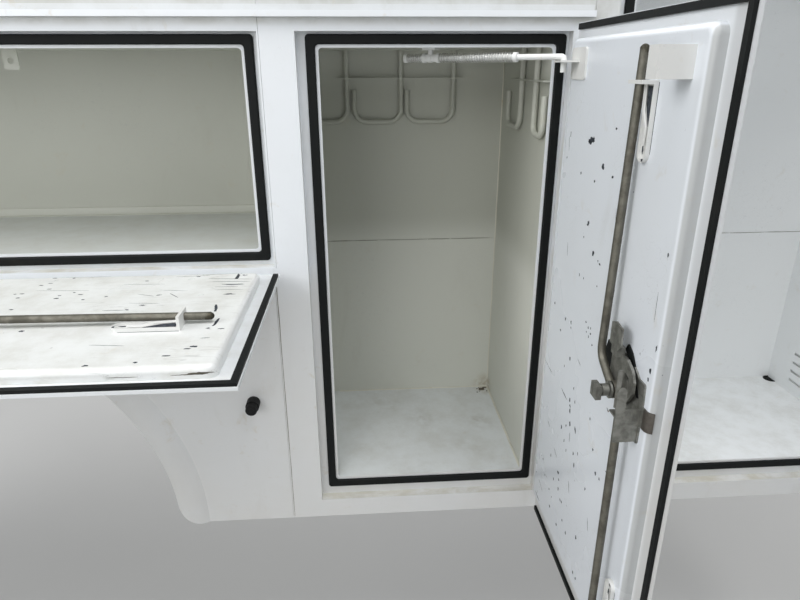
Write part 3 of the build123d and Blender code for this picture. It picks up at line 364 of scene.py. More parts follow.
def paint_material(name, base, rough, chips, scratches, stains, dust, zones=None):
    """White paint over sheet steel: wear, chips to the dark primer, scratches, stains and dust by amount."""
    s = Shader(name)
    cloud = s.noise(2.4, 4.0, 0.55)
    colour = s.tint(base, s.step(cloud, 0.42, 0.75), 0.16, DUST)
    smear = s.noise(9.0, 6.0, 0.65, 0.6, stretch=(1.0, 1.0, 0.35), offset=2.0)
    colour = s.tint(colour, s.step(smear, 0.56, 0.80), 0.22, GRIME)
    if zones:
        colour = zones(s, colour)
    settled = s.times(s.step(s.facing_up, 0.6, 0.95), s.step(s.noise(14.0, 6.0, 0.7), 0.35, 0.75))
    colour = s.tint(colour, settled, dust, GRIME)
    spots = s.step(s.noise(22.0, 5.0, 0.62, 0.8, offset=5.0), 0.60, 0.74)
    colour = s.tint(colour, spots, stains, STAIN)
    heights = []
    if scratches:
        lines = s.noise(46.0, 2.0, 0.4, 0.15, stretch=(1.0, 9.0, 1.6), offset=8.0)
        across = s.noise(40.0, 2.0, 0.4, 0.1, stretch=(7.0, 1.0, 1.0), offset=3.0)
        fine = s.math("MAXIMUM", s.near(lines, 0.5, 0.006), s.near(across, 0.47, 0.005))
        patch = s.step(s.noise(7.0, 3.0, 0.5, offset=4.0), 0.45, 0.65)
        fine = s.times(fine, patch)
        colour = s.tint(colour, fine, scratches, SCRATCH)
        heights.append((fine, 0.25, -0.0003))
    if chips:
        shape = s.noise(62.0, 5.0, 0.6, 0.5, offset=6.0)
        where = s.noise(5.0, 2.0, 0.5, offset=7.0)
        level = s.math("ADD", shape, s.times(s.math("SUBTRACT", where, 0.5), 0.35))
        chip = s.step(level, 0.735 - chips, 0.745 - chips)
        rust = s.step(s.noise(130.0, 2.0, offset=9.0), 0.55, 0.7)
        colour = s.mix(chip, colour, s.mix(rust, PRIMER, RUST))
        heights.append((chip, 0.5, -0.0004))
    ripple = s.noise(420.0, 2.0, 0.5)
    sag = s.noise(6.0, 2.0, 0.4, offset=1.0)
    s.bump((ripple, 0.05, 0.0004), (sag, 0.12, 0.004), *heights)
    s.set(Base_Color=colour, Roughness=s.blend(s.step(cloud, 0.3, 0.8), rough, rough + 0.16))
    s.bsdf.inputs["Coat Weight"].default_value = 0.15
    s.bsdf.inputs["Coat Roughness"].default_value = 0.2
    return s.material


def rubber_material(name, colour, rough):
    """Black rubber with dust in its pores."""
    s = Shader(name)
    dust = s.step(s.noise(30.0, 6.0, 0.7), 0.5, 0.8)
    s.bump((s.noise(300.0, 3.0), 0.15, 0.0004), (s.noise(25.0, 2.0), 0.2, 0.002))
    s.set(Base_Color=s.tint(colour, dust, 0.10, RUBBER_DUST), Roughness=s.blend(dust, rough, 0.8))
    s.bsdf.inputs["Specular IOR Level"].default_value = 0.14
    return s.material


def metal_material(name, colour, dark, rough, scale, stain=STEEL_STAIN, stained=0.35, zones=None):
    """Dull metal: clouds of two colours, and stains by amount."""
    s = Shader(name)
    cloud = s.noise(scale, 5.0, 0.6, 0.4)
    tone = s.mix(s.step(cloud, 0.35, 0.7), colour, dark)
    spots = s.step(s.noise(scale * 2.2, 6.0, 0.7, offset=3.0), 0.55, 0.75)
    tone = s.tint(tone, spots, stained, stain)
    if zones:
        tone = zones(s, tone)
    grain = s.noise(scale * 9.0, 2.0, offset=5.0)
    s.bump((grain, 0.2, 0.0003), (cloud, 0.15, 0.0006))
    s.set(Base_Color=tone, Roughness=s.blend(s.step(cloud, 0.3, 0.7), rough, rough + 0.22))
    s.bsdf.inputs["Metallic"].default_value = 0.85
    return s.material


# Paints as base colour, roughness, then chips, scratches, stains and dust by amount, and zones
PAINTS = {
    "body_paint": (WHITE, 0.28, 0.0, 0.10, 0.25, 0.35, body_zones),
    # The inside walls' paint: a greyer, warmer white, partly painted shade and warm bounce light.
    "inside_paint": ((0.64, 0.65, 0.59), 0.5, 0.0, 0.25, 0.12, 0.5, inside_zones),
    "pan_paint": ((0.78, 0.82, 0.87), 0.24, 0.020, 0.30, 0.14, 0.40, pan_zones),
    "guide_paint": ((0.735, 0.74, 0.725), 0.4, 0.02, 0.2, 0.2, 0.3),
    # The floors' paint: the inside paint made lighter and bluer, painted sky light.
    "floor_paint": ((0.74, 0.77, 0.78), 0.5, 0.0, 0.25, 0.12, 0.3, inside_zones),
    "hinge_steel": ((0.70, 0.72, 0.73), 0.35, 0.02, 0.2, 0.4, 0.4),
    "brown_grime": ((0.065, 0.055, 0.032), 0.75, 0.0, 0.0, 0.2, 0.1),
    "seam_grime": ((0.24, 0.23, 0.19), 0.8, 0.0, 0.0, 0.4, 0.2),
    "caulk": ((0.72, 0.71, 0.62), 0.55, 0.0, 0.0, 0.5, 0.6),
    "check_paint": ((0.80, 0.81, 0.80), 0.4, 0.02, 0.2, 0.3, 0.3),
}
# Rubbers as colour and roughness
RUBBERS = {
    "seal_rubber": ((0.006, 0.007, 0.007), 0.55),
    "bump_rubber": ((0.012, 0.012, 0.012), 0.6),
}
METALS = {
    "galvanised": dict(colour=(0.29, 0.29, 0.265), dark=(0.14, 0.14, 0.125), rough=0.42, scale=60.0,
                       zones=hood_zones),
    "rod_steel": dict(colour=(0.165, 0.158, 0.132), dark=(0.10, 0.095, 0.078), rough=0.45, scale=45.0,
                      stained=0.25),
    "check_steel": dict(colour=(0.72, 0.72, 0.70), dark=(0.50, 0.50, 0.47), rough=0.3, scale=70.0,
                        stained=0.15),
    "rod_tip": dict(colour=(0.06, 0.055, 0.04), dark=(0.03, 0.028, 0.02), rough=0.45, scale=90.0,
                    stained=0.2),
    "chip_primer": dict(colour=(0.085, 0.098, 0.115), dark=(0.045, 0.05, 0.06), rough=0.6, scale=160.0,
                        stain=(0.12, 0.075, 0.04)),
}
MATERIALS = {}
for name, values in PAINTS.items():
    MATERIALS[name] = paint_material(name, *values)
for name, values in RUBBERS.items():
    MATERIALS[name] = rubber_material(name, *values)
for name, values in METALS.items():
    MATERIALS[name] = metal_material(name, **values)

NODE_MATERIALS = {}
for part_row in frame["record"]["subparts"]:
    NODE_MATERIALS[part_row["node"]] = part_row["material_slot"]
for door in DOORS:
    NODE_MATERIALS[f"door_{door}_pan"] = "pan_paint"
    NODE_MATERIALS[f"guides_{door}"] = "guide_paint"
# Floors take the lighter, bluer copy of the inside paint: painted sky light.
NODE_MATERIALS["floors"] = "floor_paint"
NODE_MATERIALS["check_rod"] = "check_paint"
NODE_MATERIALS["check_swivel"] = "check_paint"
for name, material in NODE_MATERIALS.items():
    node(name).data.materials.clear()
    node(name).data.materials.append(MATERIALS[material])


# Mesh helpers
def add_piece(name, bm, body, material, smooth=35.0):
    """Turns a bmesh in the row frame into a piece that rides on a body."""
    mesh = bpy.data.meshes.new(name)
    bmesh.ops.recalc_face_normals(bm, faces=bm.faces)
    bm.to_mesh(mesh)
    bm.free()
    made = bpy.data.objects.new(name, mesh)
    bpy.context.scene.collection.objects.link(made)
    mesh.materials.append(MATERIALS[material])
    mesh.shade_smooth()
    mesh.set_sharp_from_angle(angle=math.radians(smooth))
    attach(made, body)
    return made


def join_rings(bm, rings):
    """A closed skin over rings of corners, with a face on the first and on the last one."""
    bm.faces.new(reversed(rings[0]))
    bm.faces.new(rings[-1])
    for a, b in zip(rings, rings[1:]):
        for k in range(len(a)):
            after = (k + 1) % len(a)
            bm.faces.new((a[k], a[after], b[after], b[k]))


def circle(corners, start=0.0):
    """The cosine and sine of each corner's angle, the first one this share of a corner round."""
    angles = [2 * math.pi * (k + start) / corners for k in range(corners)]
    return [(math.cos(angle), math.sin(angle)) for angle in angles]


def add_tube(bm, points, radius, sides):
    """A round tube through points in the row frame, added to a bmesh."""
    rings = []
    normal = None
    last = len(points) - 1
    for i, point in enumerate(points):
        ahead = points[min(i + 1, last)] - points[max(i - 1, 0)]
        ahead.normalize()
        if normal is None:
            normal = ahead.orthogonal().normalized()
        normal = (normal - ahead * normal.dot(ahead)).normalized()
        side = ahead.cross(normal)
        rings.append([bm.verts.new(point + (normal * cos + side * sin) * radius)
                      for cos, sin in circle(sides)])
    join_rings(bm, rings)


def add_lathe(bm, matrix, profile, sides):
    """A turned piece: profile is radius and height pairs along the matrix's z axis."""
    join_rings(bm, [[bm.verts.new(matrix @ Vector((radius * cos, radius * sin, height)))
                     for cos, sin in circle(sides)] for radius, height in profile])


def add_plate(bm, matrix, outline, low, high):
    """A flat plate with this outline, between two heights along the matrix's z axis."""
    join_rings(bm, [[bm.verts.new(matrix @ Vector((x, y, height))) for x, y in outline]
                    for height in (low, high)])


# Door check's coil springs in place of their plain tubes
SPRING_RADIUS = 0.0077
SPRING_WIRE = 0.0011
SPRING_SIDES = 8
STEPS_A_TURN = 20
along = (CHECK_PIN - CHECK_EYE).normalized()
eye = CHECK_EYE


def coil(name, replaced, start, end, turns):
    """A coil spring along the check rod, between two places measured from the swivel."""
    side = Vector((0, 0, 1))
    other = along.cross(side)
    points = []
    steps = turns * STEPS_A_TURN
    for i in range(steps + 1):
        share = i / steps
        angle = 2 * math.pi * turns * share
        place = start + (end - start) * share
        out = (side * math.cos(angle) + other * math.sin(angle)) * SPRING_RADIUS
        points.append(eye + along * place + out)
    bm = bmesh.new()
    add_tube(bm, points, SPRING_WIRE, SPRING_SIDES)
    made = add_piece(name, bm, "check_rod", "check_steel")
    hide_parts(replaced)
    return made


spring_long = coil("coil_long", "check_spring_long", 0.0203, 0.1672, 29)
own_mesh(spring_long)
coil("coil_short", "check_spring_short", -0.0497, -0.0163, 7)

# Hooks: smooth bent bars and their flat strips, in place of the plain ones
HOOK_LOW_Z = 0.288
HOOK_TIP_Z = 0.362
HOOK_RADIUS = 0.006
HOOK_SIDES = 18
BEND_STEPS = 10
STRIP_Z = (0.387, 0.390)
# Each hook's start, its reach across, and its bend's radius
HOOKS = {
    "back": (((0.4785, -0.051), (-0.114, 0.0), 0.030), ((0.610, -0.051), (-0.114, 0.0), 0.030),
             ((0.7385, -0.051), (-0.114, 0.0), 0.030)),
    "side": (((0.857, -0.253), (0.0, 0.114), 0.030), ((0.857, -0.364), (0.0, -0.064), 0.020)),
}
# Each strip's two ends in x and in y
STRIPS = {"back": (0.4545, 0.7625, -0.057, -0.043), "side": (0.851, 0.865, -0.434, -0.158)}


def hook_path(start, across, bend, top_z):
    """Down from the ceiling, along the hook's flat bottom, and up to its tip."""
    down = Vector((0, 0, -1))
    reach = Vector((*across, 0))
    flat = reach.normalized()
    corner = Vector((*start, HOOK_LOW_Z))
    points = [Vector((*start, top_z))]
    for at, enter, leave in ((corner, down, flat), (corner + reach, flat, -down)):
        centre = at - enter * bend + leave * bend
        for i in range(BEND_STEPS + 1):
            angle = math.pi / 2 * i / BEND_STEPS
            points.append(centre - leave * bend * math.cos(angle) + enter * bend * math.sin(angle))
    points.append(Vector((corner.x + reach.x, corner.y + reach.y, HOOK_TIP_Z)))
    return points


for side, hooks in HOOKS.items():
    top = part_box(f"hooks_{side}")[1][2]
    bm = bmesh.new()
    for start, across, bend in hooks:
        add_tube(bm, hook_path(start, across, bend, top), HOOK_RADIUS, HOOK_SIDES)
    x0, x1, y0, y1 = STRIPS[side]
    add_plate(bm, Matrix.Identity(4), ((x0, y0), (x1, y0), (x1, y1), (x0, y1)), *STRIP_Z)
    made = add_piece(f"bent_hooks_{side}", bm, "cabinet", "inside_paint")
    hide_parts(f"hooks_{side}")

# Pans, and the pieces fixed on them. Places on a door are v, y and w in millimetres.
PAN_W = 24.7
PAN_ROUND = 9.0
PINS = {door: door_matrix(door) @ Matrix.Scale(MM, 4) for door in DOORS}
PAN_EDGES = {}
for door in DOORS:
    low, high = node_span(f"door_{door}_pan", door_matrix(door))
    PAN_EDGES[door] = (low.x / MM, high.x / MM, low.y / MM, high.y / MM)

# Corners of a chip, steps along a streak, and the heights of marks over the pan
CHIP_CORNERS = 11
STREAK_STEPS = 7
MARK_DEPTH = -0.2
CHIP_LIFT = 0.16
STREAK_LIFT = 0.12


def on_pan(door, v, y, lift):
    """The place on a pan's skin, over its rolled edges too."""
    v0, v1, y0, y1 = PAN_EDGES[door]
    past = max(v - (v1 - PAN_ROUND), (v0 + PAN_ROUND) - v, y - (y1 - PAN_ROUND), (y0 + PAN_ROUND) - y, 0.0)
    past = min(past, PAN_ROUND * 0.98)
    drop = PAN_ROUND - math.sqrt(PAN_ROUND ** 2 - past ** 2)
    return PINS[door] @ Vector((v, y, PAN_W - drop + lift))


def add_mark(bm, door, outline, lift):
    """A thin closed plate that lies on a pan's skin."""
    join_rings(bm, [[bm.verts.new(on_pan(door, v, y, height)) for v, y in outline]
                    for height in (MARK_DEPTH, lift)])


def chip_outline(rng, v, y, half_v, half_y, turn=0.0):
    """An uneven patch about a place, turned by an angle."""
    outline = []
    for cos, sin in circle(CHIP_CORNERS):
        reach = rng.uniform(0.55, 1.2)
        a = half_v * reach * cos
        b = half_y * reach * sin
        outline.append((v + a * math.cos(turn) - b * math.sin(turn),
                        y + a * math.sin(turn) + b * math.cos(turn)))
    return outline


def streak_outline(rng, v0, y0, v1, y1, width, taper=0.2):
    """An uneven line between two places, with ends this share of its width."""
    length = math.hypot(v1 - v0, y1 - y0)
    side_v, side_y = -(y1 - y0) / length, (v1 - v0) / length
    left, right = [], []
    for k in range(STREAK_STEPS + 1):
        share = k / STREAK_STEPS
        swell = taper + (1 - taper) * math.sin(math.pi * share) ** 0.6
        half = width / 2 * swell * rng.uniform(0.75, 1.15)
        drift = width * rng.uniform(-0.15, 0.15)
        v, y = v0 + (v1 - v0) * share, y0 + (y1 - y0) * share
        left.append((v + side_v * (drift + half), y + side_y * (drift + half)))
        right.append((v + side_v * (drift - half), y + side_y * (drift - half)))
    return left + right[::-1]


# Chips to the primer as v, y, half sizes and turn
CHIPS = {
    "mid": [
        (224, 272, 6, 5, 0.9), (165, 304, 11, 5.5, 0.3), (158, 302, 7, 3.4), (175, 307, 5, 5),
        (66, 304, 1.4, 5), (197, 245, 3, 2.4), (258, 331, 3.6, 1.8), (264, 263, 4.4, 2.4),
        (134, 248, 2, 3), (57, 263, 1.6, 2), (191, 177, 4, 3.2, 0.9), (188, 173, 3, 2.4),
        (224, 134, 5, 4.5, 0.8), (247, 129, 1.6, 2), (255, 126, 4.2, 1.8), (176, 83, 1.6, 3),
        (196, 83, 1.6, 1.6), (255, 90, 1.4, 1.6), (66, -12, 3.2, 2.6), (131, -18, 3, 3.4),
        (160, -12, 3, 4.2), (163, -22, 2, 3), (111, -49, 3, 2.6), (39, -81, 2, 3), (228, 17, 2.6, 2),
        (240, 12, 1.8, 2.6), (252, 6, 2.6, 1.6), (245, -2, 1.6, 2.6), (263, -9, 2.4, 2),
        (234, 2, 1.6, 1.6), (250, 15, 1.4, 1.8), (174, -77, 3, 4), (199, -161, 3.4, 3),
        (136, -394, 3, 2.6), (104, -383, 2.6, 2), (201, -368, 3, 2.4), (195, -151, 3, 5),
        (201, -170, 3, 5.5), (168, -226, 3, 4.6), (207, -193, 3.4, 6, 0.3), (235, -189, 3, 6, 0.4),
        (238, -236, 2.6, 4), (247, -254, 3, 4.4), (176, -323, 5.2, 3), (183, -335, 3, 2.6),
        (185, -355, 3, 4), (209, -367, 3, 2.6), (338, -204, 3.4, 4), (354, -203, 2.4, 3),
        (317, -173, 3, 3), (291, -130, 2, 3), (294, -375, 3, 5.4), (245, -408, 3, 4),
        (299, -451, 2.6, 3.6), (313, -451, 2.6, 3), (149, -426, 3.6, 3), (195, -432, 3.4, 3.2),
        (127, -318, 2.4, 4), (83, -358, 2.6, 3), (188, -242, 1.6, 4), (203, -253, 1.6, 4),
        (306, -260, 2.2, 3), (155, -354, 2.4, 3), (222, -399, 2.4, 3), (457, 45, 2.6, 5),
        (455, 31, 2.4, 3.4), (463, 80, 2, 5), (455, 201, 1.8, 4), (207, -120, 2, 3),
        (150, -104, 1.6, 2.6), (219, -141, 2, 4), (190, -208, 1.8, 3), (258, -222, 1.6, 4),
    ],
    "wheel": [
        (54, 416, 1.8, 3), (90, 375, 2, 4), (132, 363, 1.6, 4), (133, 352, 1.4, 3), (111, 398, 1.6, 4),
        (159, 431, 2.4, 4), (146, 431, 1.6, 3), (80, 387, 1.6, 5), (51, 381, 1.6, 4), (32, 360, 1.6, 6),
        (168, 478, 2, 3), (132, 449, 1.6, 3), (143, 464, 1.6, 5), (156, 511, 2, 3), (414, 581, 3, 4),
        (294, 443, 3, 4), (152, 366, 2, 4), (205, 383, 2, 4), (158, 713, 1.8, 6, 0.2), (201, 585, 2, 6),
        (80, 554, 1.8, 4), (155, 597, 1.8, 4), (220, 567, 1.8, 4), (237, 545, 1.8, 4), (409, 642, 2.4, 3),
        (372, 700, 2, 5), (392, 676, 1.6, 6), (302, 712, 1.8, 3), (62, 640, 1.6, 4), (38, 690, 1.4, 6),
    ],
}
# Streaks as their two ends, their width, and their ends' share of it
STREAKS = {
    "mid": [
        (22, -145, 87, -153, 1.8), (147, -153, 181, -159, 2.2), (52, -464, 84, -466, 1.8),
        (60, 300, 64, 276, 1.0), (291, 222, 296, 190, 0.8), (104, 120, 108, 96, 0.8),
        (210, -60, 226, -66, 1.2), (90, -260, 104, -266, 1.2), (141, -290, 160, -300, 1.6),
        (232, -300, 240, -322, 1.6), (212, -208, 214, -228, 1.6), (70, -420, 98, -430, 1.2),
        (446, 150, 447, 110, 0.8), (330, -300, 338, -322, 1.2),
    ],
    "wheel": [
        (80, 711, 29, 714, 6.4, 0.8), (207, 703, 237, 708, 4.6, 0.7), (266, 720, 295, 717, 4.6, 0.6),
        (365, 701, 365, 711, 4.4, 0.8), (109, 692, 110, 731, 4.2), (160, 704, 160, 725, 2.8),
        (75, 662, 83, 741, 1.4), (50, 650, 46, 737, 1.2), (121, 682, 122, 722, 1.2),
        (136, 685, 137, 734, 1.0), (92, 672, 96, 738, 1.4), (306, 726, 306, 736, 2.4),
        (338, 709, 337, 722, 1.4), (157, 593, 154, 602, 2.4), (304, 708, 306, 716, 1.2),
        (60, 600, 58, 660, 0.9), (148, 613, 170, 633, 1.4), (148, 560, 160, 590, 1.0),
        (33, 499, 53, 648, 1.6), (44, 330, 50, 480, 1.2), (118, 380, 124, 470, 0.9),
        (235, 515, 237, 546, 1.6), (220, 529, 221, 564, 1.4), (190, 560, 196, 610, 0.8),
        (130, 590, 138, 640, 0.9), (350, 560, 356, 610, 0.9), (96, 520, 99, 590, 0.9),
    ],
}

# Marks that the photo doesn't show, on the doors it leaves out
GENERIC_CHIPS = 46
GENERIC_STREAKS = 12
for door in ("rear", "front"):
    rng = random.Random(door)
    v0, v1, y0, y1 = PAN_EDGES[door]
    CHIPS[door] = []
    STREAKS[door] = []
    for _ in range(GENERIC_CHIPS):
        v, y = rng.uniform(v0 + 20, v1 - 110), rng.uniform(y0 + 20, y1 - 20)
        CHIPS[door].append((v, y, rng.uniform(1.4, 3.6), rng.uniform(1.8, 4.6), rng.uniform(0, 3)))
    for _ in range(GENERIC_STREAKS):
        v, y = rng.uniform(v0 + 20, v1 - 150), rng.uniform(y0 + 30, y1 - 30)
        STREAKS[door].append((v, y, v + rng.uniform(10, 40), y + rng.uniform(-12, 12), rng.uniform(0.9, 1.8)))
# And more on the drop door, most of them outside the photo
DROP_SEEDS = range(100, 126)
for seed in DROP_SEEDS:
    rng = random.Random(seed)
    v, y = rng.uniform(30, 250), rng.uniform(-700, 300)
    CHIPS["wheel"].append((v, y, rng.uniform(1.4, 3), rng.uniform(2, 5)))
    y, v = rng.uniform(-690, 260), rng.uniform(30, 390)
    STREAKS["wheel"].append((v, y, v + rng.uniform(-4, 4), y + rng.uniform(20, 90), rng.uniform(0.8, 1.4)))

for door in DOORS:
    rng = random.Random(f"marks {door}")
    bm = bmesh.new()
    for chip in CHIPS[door]:
        add_mark(bm, door, chip_outline(rng, *chip), CHIP_LIFT)
    for streak in STREAKS[door]:
        add_mark(bm, door, streak_outline(rng, *streak), STREAK_LIFT)
    add_piece(f"paint_chips_{door}", bm, f"door_{door}", "chip_primer", smooth=20.0)

# Brown dirt on the side of the drop door's pan, as its ends in y, its width and its w
PAN_DIRT = (
    (712, 738, 3.4, 14.6), (700, 730, 1.4, 13.4), (724, 746, 1.6, 15.6), (690, 706, 0.8, 13.0),
    (610, 650, 0.9, 12.4), (380, 470, 1.2, 12.8), (40, 130, 1.4, 13.0), (180, 240, 0.9, 12.0),
)
DIRT_HEIGHTS = (-0.3, 0.15)
rng = random.Random("dirt")
bm = bmesh.new()
side_v = PAN_EDGES["wheel"][1]
pan_side = PINS["wheel"] @ Matrix(((0, 0, 1, side_v), (1, 0, 0, 0), (0, 1, 0, 0), (0, 0, 0, 1)))
for y0, y1, width, w in PAN_DIRT:
    add_plate(bm, pan_side, streak_outline(rng, y0, w, y1, w, width), *DIRT_HEIGHTS)
add_piece("pan_dirt_wheel", bm, "door_wheel", "brown_grime", smooth=20.0)

# Rods, straps and latches on each door
ROD_V = {"rear": 340.0, "wheel": 280.0, "mid": 340.0, "front": 635.0}
ROD_TIP = {"rear": -437.0, "wheel": 712.0, "mid": 437.0, "front": 687.0}
LOW_TIP = {"rear": 460.0, "wheel": -712.0, "mid": -460.0, "front": -460.0}
LATCH_V = {"rear": 400.0, "wheel": 352.0, "mid": 400.0, "front": 695.0}
LATCH_Y = {"rear": 13.0, "wheel": 0.0, "mid": -13.0, "front": -13.0}
TIP_LENGTH = {"rear": 4.0, "wheel": 5.0, "mid": 4.0, "front": 4.0}
FLIPS = {"rear": -1.0, "wheel": 1.0, "mid": 1.0, "front": 1.0}
ROD_TIP_W = 35.0
LOW_ROD_W = 44.2
LOW_ROD_OFFSET = 28.0
STRAP_OFFSET = 18.0
STRAP_TOP_W = 30.7
GUIDE_REACH = 38.5
TIP_SIDES = 20
SLOT_SHADOW_HEIGHTS = (STRAP_TOP_W - 0.3, STRAP_TOP_W + 0.15)
SHADE_HEIGHTS = (PAN_W - 0.2, PAN_W + 0.25)
LATCH_SHADOW_HEIGHTS = (PAN_W - 0.3, PAN_W + 2.9)

# Places across a strap and along it from its guide. The slots' outlines and the strap's shaded edge are black
# sheets of painted shadow.
SLOT_SHADOWS = (
    ((-3, 7), (9.5, 7), (10, 28), (9.5, 55), (7.5, 52), (2, 40), (-2, 28)),
    ((1.5, 80), (4.5, 79), (5.5, 85), (4.0, 90), (2.0, 87)),
    ((2, 96), (8, 95), (7, 98.5), (3, 99.5)),
)
STRAP_SHADE = ((11.9, 2), (13.0, 2), (12.8, 88), (11.9, 90))
LEAF_SECTION = ((-3.2, -0.6), (-2.4, 1.1), (2.4, 1.1), (3.2, -0.6))

# Outlines, from the middle of a latch, of black sheets of painted shadow in the gaps round its rotor, along its
# plate's left edge and round its pivot
LATCH_SHADOWS = (
    ((-8, 66), (6, 59), (19, 45), (31, 29), (43, 9), (36, 7), (24, 24), (8, 42), (-14, 56)),
    ((-78, 6), (-70, 2), (-56, 6), (-54, 38), (-62, 50), (-72, 44), (-78, 28)),
    ((-12, 2), (-14, -14), (-6, -22), (8, -20), (12, -8), (10, 4)),
)


def door_place(door, v, y, flip):
    """Axes at a place on a door, with y flipped where flip is -1."""
    return PINS[door] @ Matrix.Translation((v, y, 0.0)) @ Matrix.Diagonal((1.0, flip, 1.0, 1.0))


def rod_ends(door):
    """Both rods' tips as v, y and w, and which way along y each points."""
    way = FLIPS[door]
    return ((ROD_V[door], ROD_TIP[door], ROD_TIP_W, way),
            (LATCH_V[door] + LOW_ROD_OFFSET, LOW_TIP[door], LOW_ROD_W, -way))


def add_rod_tips(door):
    """The rods' dark tapered tips."""
    length = TIP_LENGTH[door]
    profile = ((6.05, -length * 1.6), (6.1, -0.2), (5.2, length * 0.3), (3.6, length * 0.72), (1.4, length))
    bm = bmesh.new()
    for v, y, w, way in rod_ends(door):
        turn = Matrix.Translation((v, y, w)) @ Matrix.Rotation(-way * math.pi / 2, 4, "X")
        add_lathe(bm, PINS[door] @ turn, profile, TIP_SIDES)
    add_piece(f"rod_tips_{door}", bm, f"door_{door}", "rod_tip")


def add_straps(door):
    """Black sheets of painted shadow in the straps' slots and along their edges, and the bent leaf from each rod
    to its strap.
    """
    dark = bmesh.new()
    leaf = bmesh.new()
    for v, y, w, way in rod_ends(door):
        strap = door_place(door, v + STRAP_OFFSET, y - way * GUIDE_REACH, -way)
        for slot in SLOT_SHADOWS:
            add_plate(dark, strap, slot, *SLOT_SHADOW_HEIGHTS)
        add_plate(dark, strap, STRAP_SHADE, *SHADE_HEIGHTS)
        line = ((-6.0, 5, w - 2.0), (-6.5, 18, w - 2.5), (-1.0, 38, STRAP_TOP_W + 3.4),
                (4.0, 54, STRAP_TOP_W + 1.4), (3.4, 66, STRAP_TOP_W + 0.6), (1.4, 77, STRAP_TOP_W + 0.5))
        join_rings(leaf, [[leaf.verts.new(strap @ Vector((a + da, b, height + dw)))
                           for da, dw in LEAF_SECTION] for a, b, height in line])
    add_piece(f"strap_slot_shadows_{door}", dark, f"door_{door}", "chip_primer", smooth=20.0)
    add_piece(f"strap_leaves_{door}", leaf, f"door_{door}", "guide_paint", smooth=50.0)


def add_latch_shadow(door):
    """Black sheets of painted shadow on the latch plate."""
    latch = door_place(door, LATCH_V[door], LATCH_Y[door], FLIPS[door])
    bm = bmesh.new()
    for outline in LATCH_SHADOWS:
        add_plate(bm, latch, outline, *LATCH_SHADOW_HEIGHTS)
    add_piece(f"latch_shadow_{door}", bm, f"door_{door}", "seal_rubber", smooth=20.0)


for door in DOORS:
    add_rod_tips(door)
    add_straps(door)
    add_latch_shadow(door)

# Bump stops' hollow ends, as the radius and height of each corner of the ring
BUMP_INSET = 0.014
BUMP_RING = ((0.0108, -0.003), (0.0112, 0.0006), (0.0100, 0.0012), (0.0060, 0.0012), (0.0048, 0.0002))
RING_SIDES = 28
low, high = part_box("bump_stops")
bm = bmesh.new()
for x in (low[0] + BUMP_INSET, high[0] - BUMP_INSET):
    turn = Matrix.Translation((x, low[1], (low[2] + high[2]) / 2)) @ Matrix.Rotation(math.pi / 2, 4, "X")
    add_lathe(bm, turn, BUMP_RING, RING_SIDES)
add_piece("bump_rings", bm, "cabinet", "bump_rubber")

# Drain in the raised bay's floor
DRAIN_AT = (1.727, -0.060, FLOOR_Z)
DRAIN_RING = ((0.0195, -0.0006), (0.0195, 0.0008), (0.0175, 0.0018), (0.0140, 0.0018), (0.0125, 0.0004))
DRAIN_SIDES = 32
bm = bmesh.new()
add_lathe(bm, Matrix.Translation(DRAIN_AT), DRAIN_RING, DRAIN_SIDES)
add_piece("floor_drain", bm, "cabinet", "seal_rubber")

# Caulk beads round the middle bay's floor and up its far corner, as their ends and radius
BEAD_Z = FLOOR_Z + 0.0012
BEADS = (
    ((0.8632, -0.436, BEAD_Z), (0.8632, -0.052, BEAD_Z), 0.0022),
    ((0.8640, -0.0448, BEAD_Z), (0.4300, -0.0448, BEAD_Z), 0.0019),
    ((0.8636, -0.0445, -0.440), (0.8636, -0.0445, 0.440), 0.0016),
)
BEAD_STEPS = 60
BEAD_WOBBLE = 0.0003
BEAD_SIDES = 10
bm = bmesh.new()
rng = random.Random("caulk")
for start, end, radius in BEADS:
    start, end = Vector(start), Vector(end)
    points = []
    for k in range(BEAD_STEPS + 1):
        wobble = Vector((rng.uniform(-1, 1), rng.uniform(-1, 1), rng.uniform(-1, 1))) * BEAD_WOBBLE
        points.append(start + (end - start) * k / BEAD_STEPS + wobble)
    add_tube(bm, points, radius, BEAD_SIDES)
add_piece("caulk_beads", bm, "cabinet", "caulk")

# Dried crust in the far corner of the middle bay
CRUST_X = 0.858
CRUST_Y = -0.050
CRUST_LUMPS = 22
bm = bmesh.new()
for _ in range(CRUST_LUMPS):
    x = CRUST_X - abs(rng.gauss(0, 0.012))
    y = CRUST_Y - abs(rng.gauss(0, 0.010))
    blob = bmesh.ops.create_icosphere(bm, subdivisions=2, radius=rng.uniform(0.0012, 0.0036))
    for vertex in blob["verts"]:
        wide, deep = rng.uniform(0.85, 1.25), rng.uniform(0.85, 1.25)
        vertex.co = Vector((x + vertex.co.x * wide, y + vertex.co.y * deep,
                            FLOOR_Z + 0.0004 + vertex.co.z * 0.5))
add_piece("corner_crust", bm, "cabinet", "brown_grime", smooth=80.0)

# Dark lines where the back walls' sheets lap
BACK_WALLS_X = ((-1.745, -1.200), (0.412, 0.863), (1.000, 1.735))
LINE_Z = SEAM_Z - 0.0012
SHORTEST_LINE = 0.03
LINE_HEIGHTS = (-0.0003, 0.0003)
back_wall = Matrix(((1, 0, 0, 0), (0, 0, -1, INNER_Y), (0, 1, 0, 0), (0, 0, 0, 1)))
bm = bmesh.new()
rng = random.Random("seams")
for x0, x1 in BACK_WALLS_X:
    x = x0
    while x < x1 - SHORTEST_LINE:
        reach = min(x + rng.uniform(0.05, 0.13), x1)
        z = LINE_Z + rng.uniform(-0.0002, 0.0002)
        flat = streak_outline(rng, x, z, reach, z, rng.uniform(0.0010, 0.0020), 0.4)
        add_plate(bm, back_wall, flat, *LINE_HEIGHTS)
        x = reach + rng.uniform(0.0, 0.006)
add_piece("seam_lines", bm, "cabinet", "seam_grime", smooth=20.0)

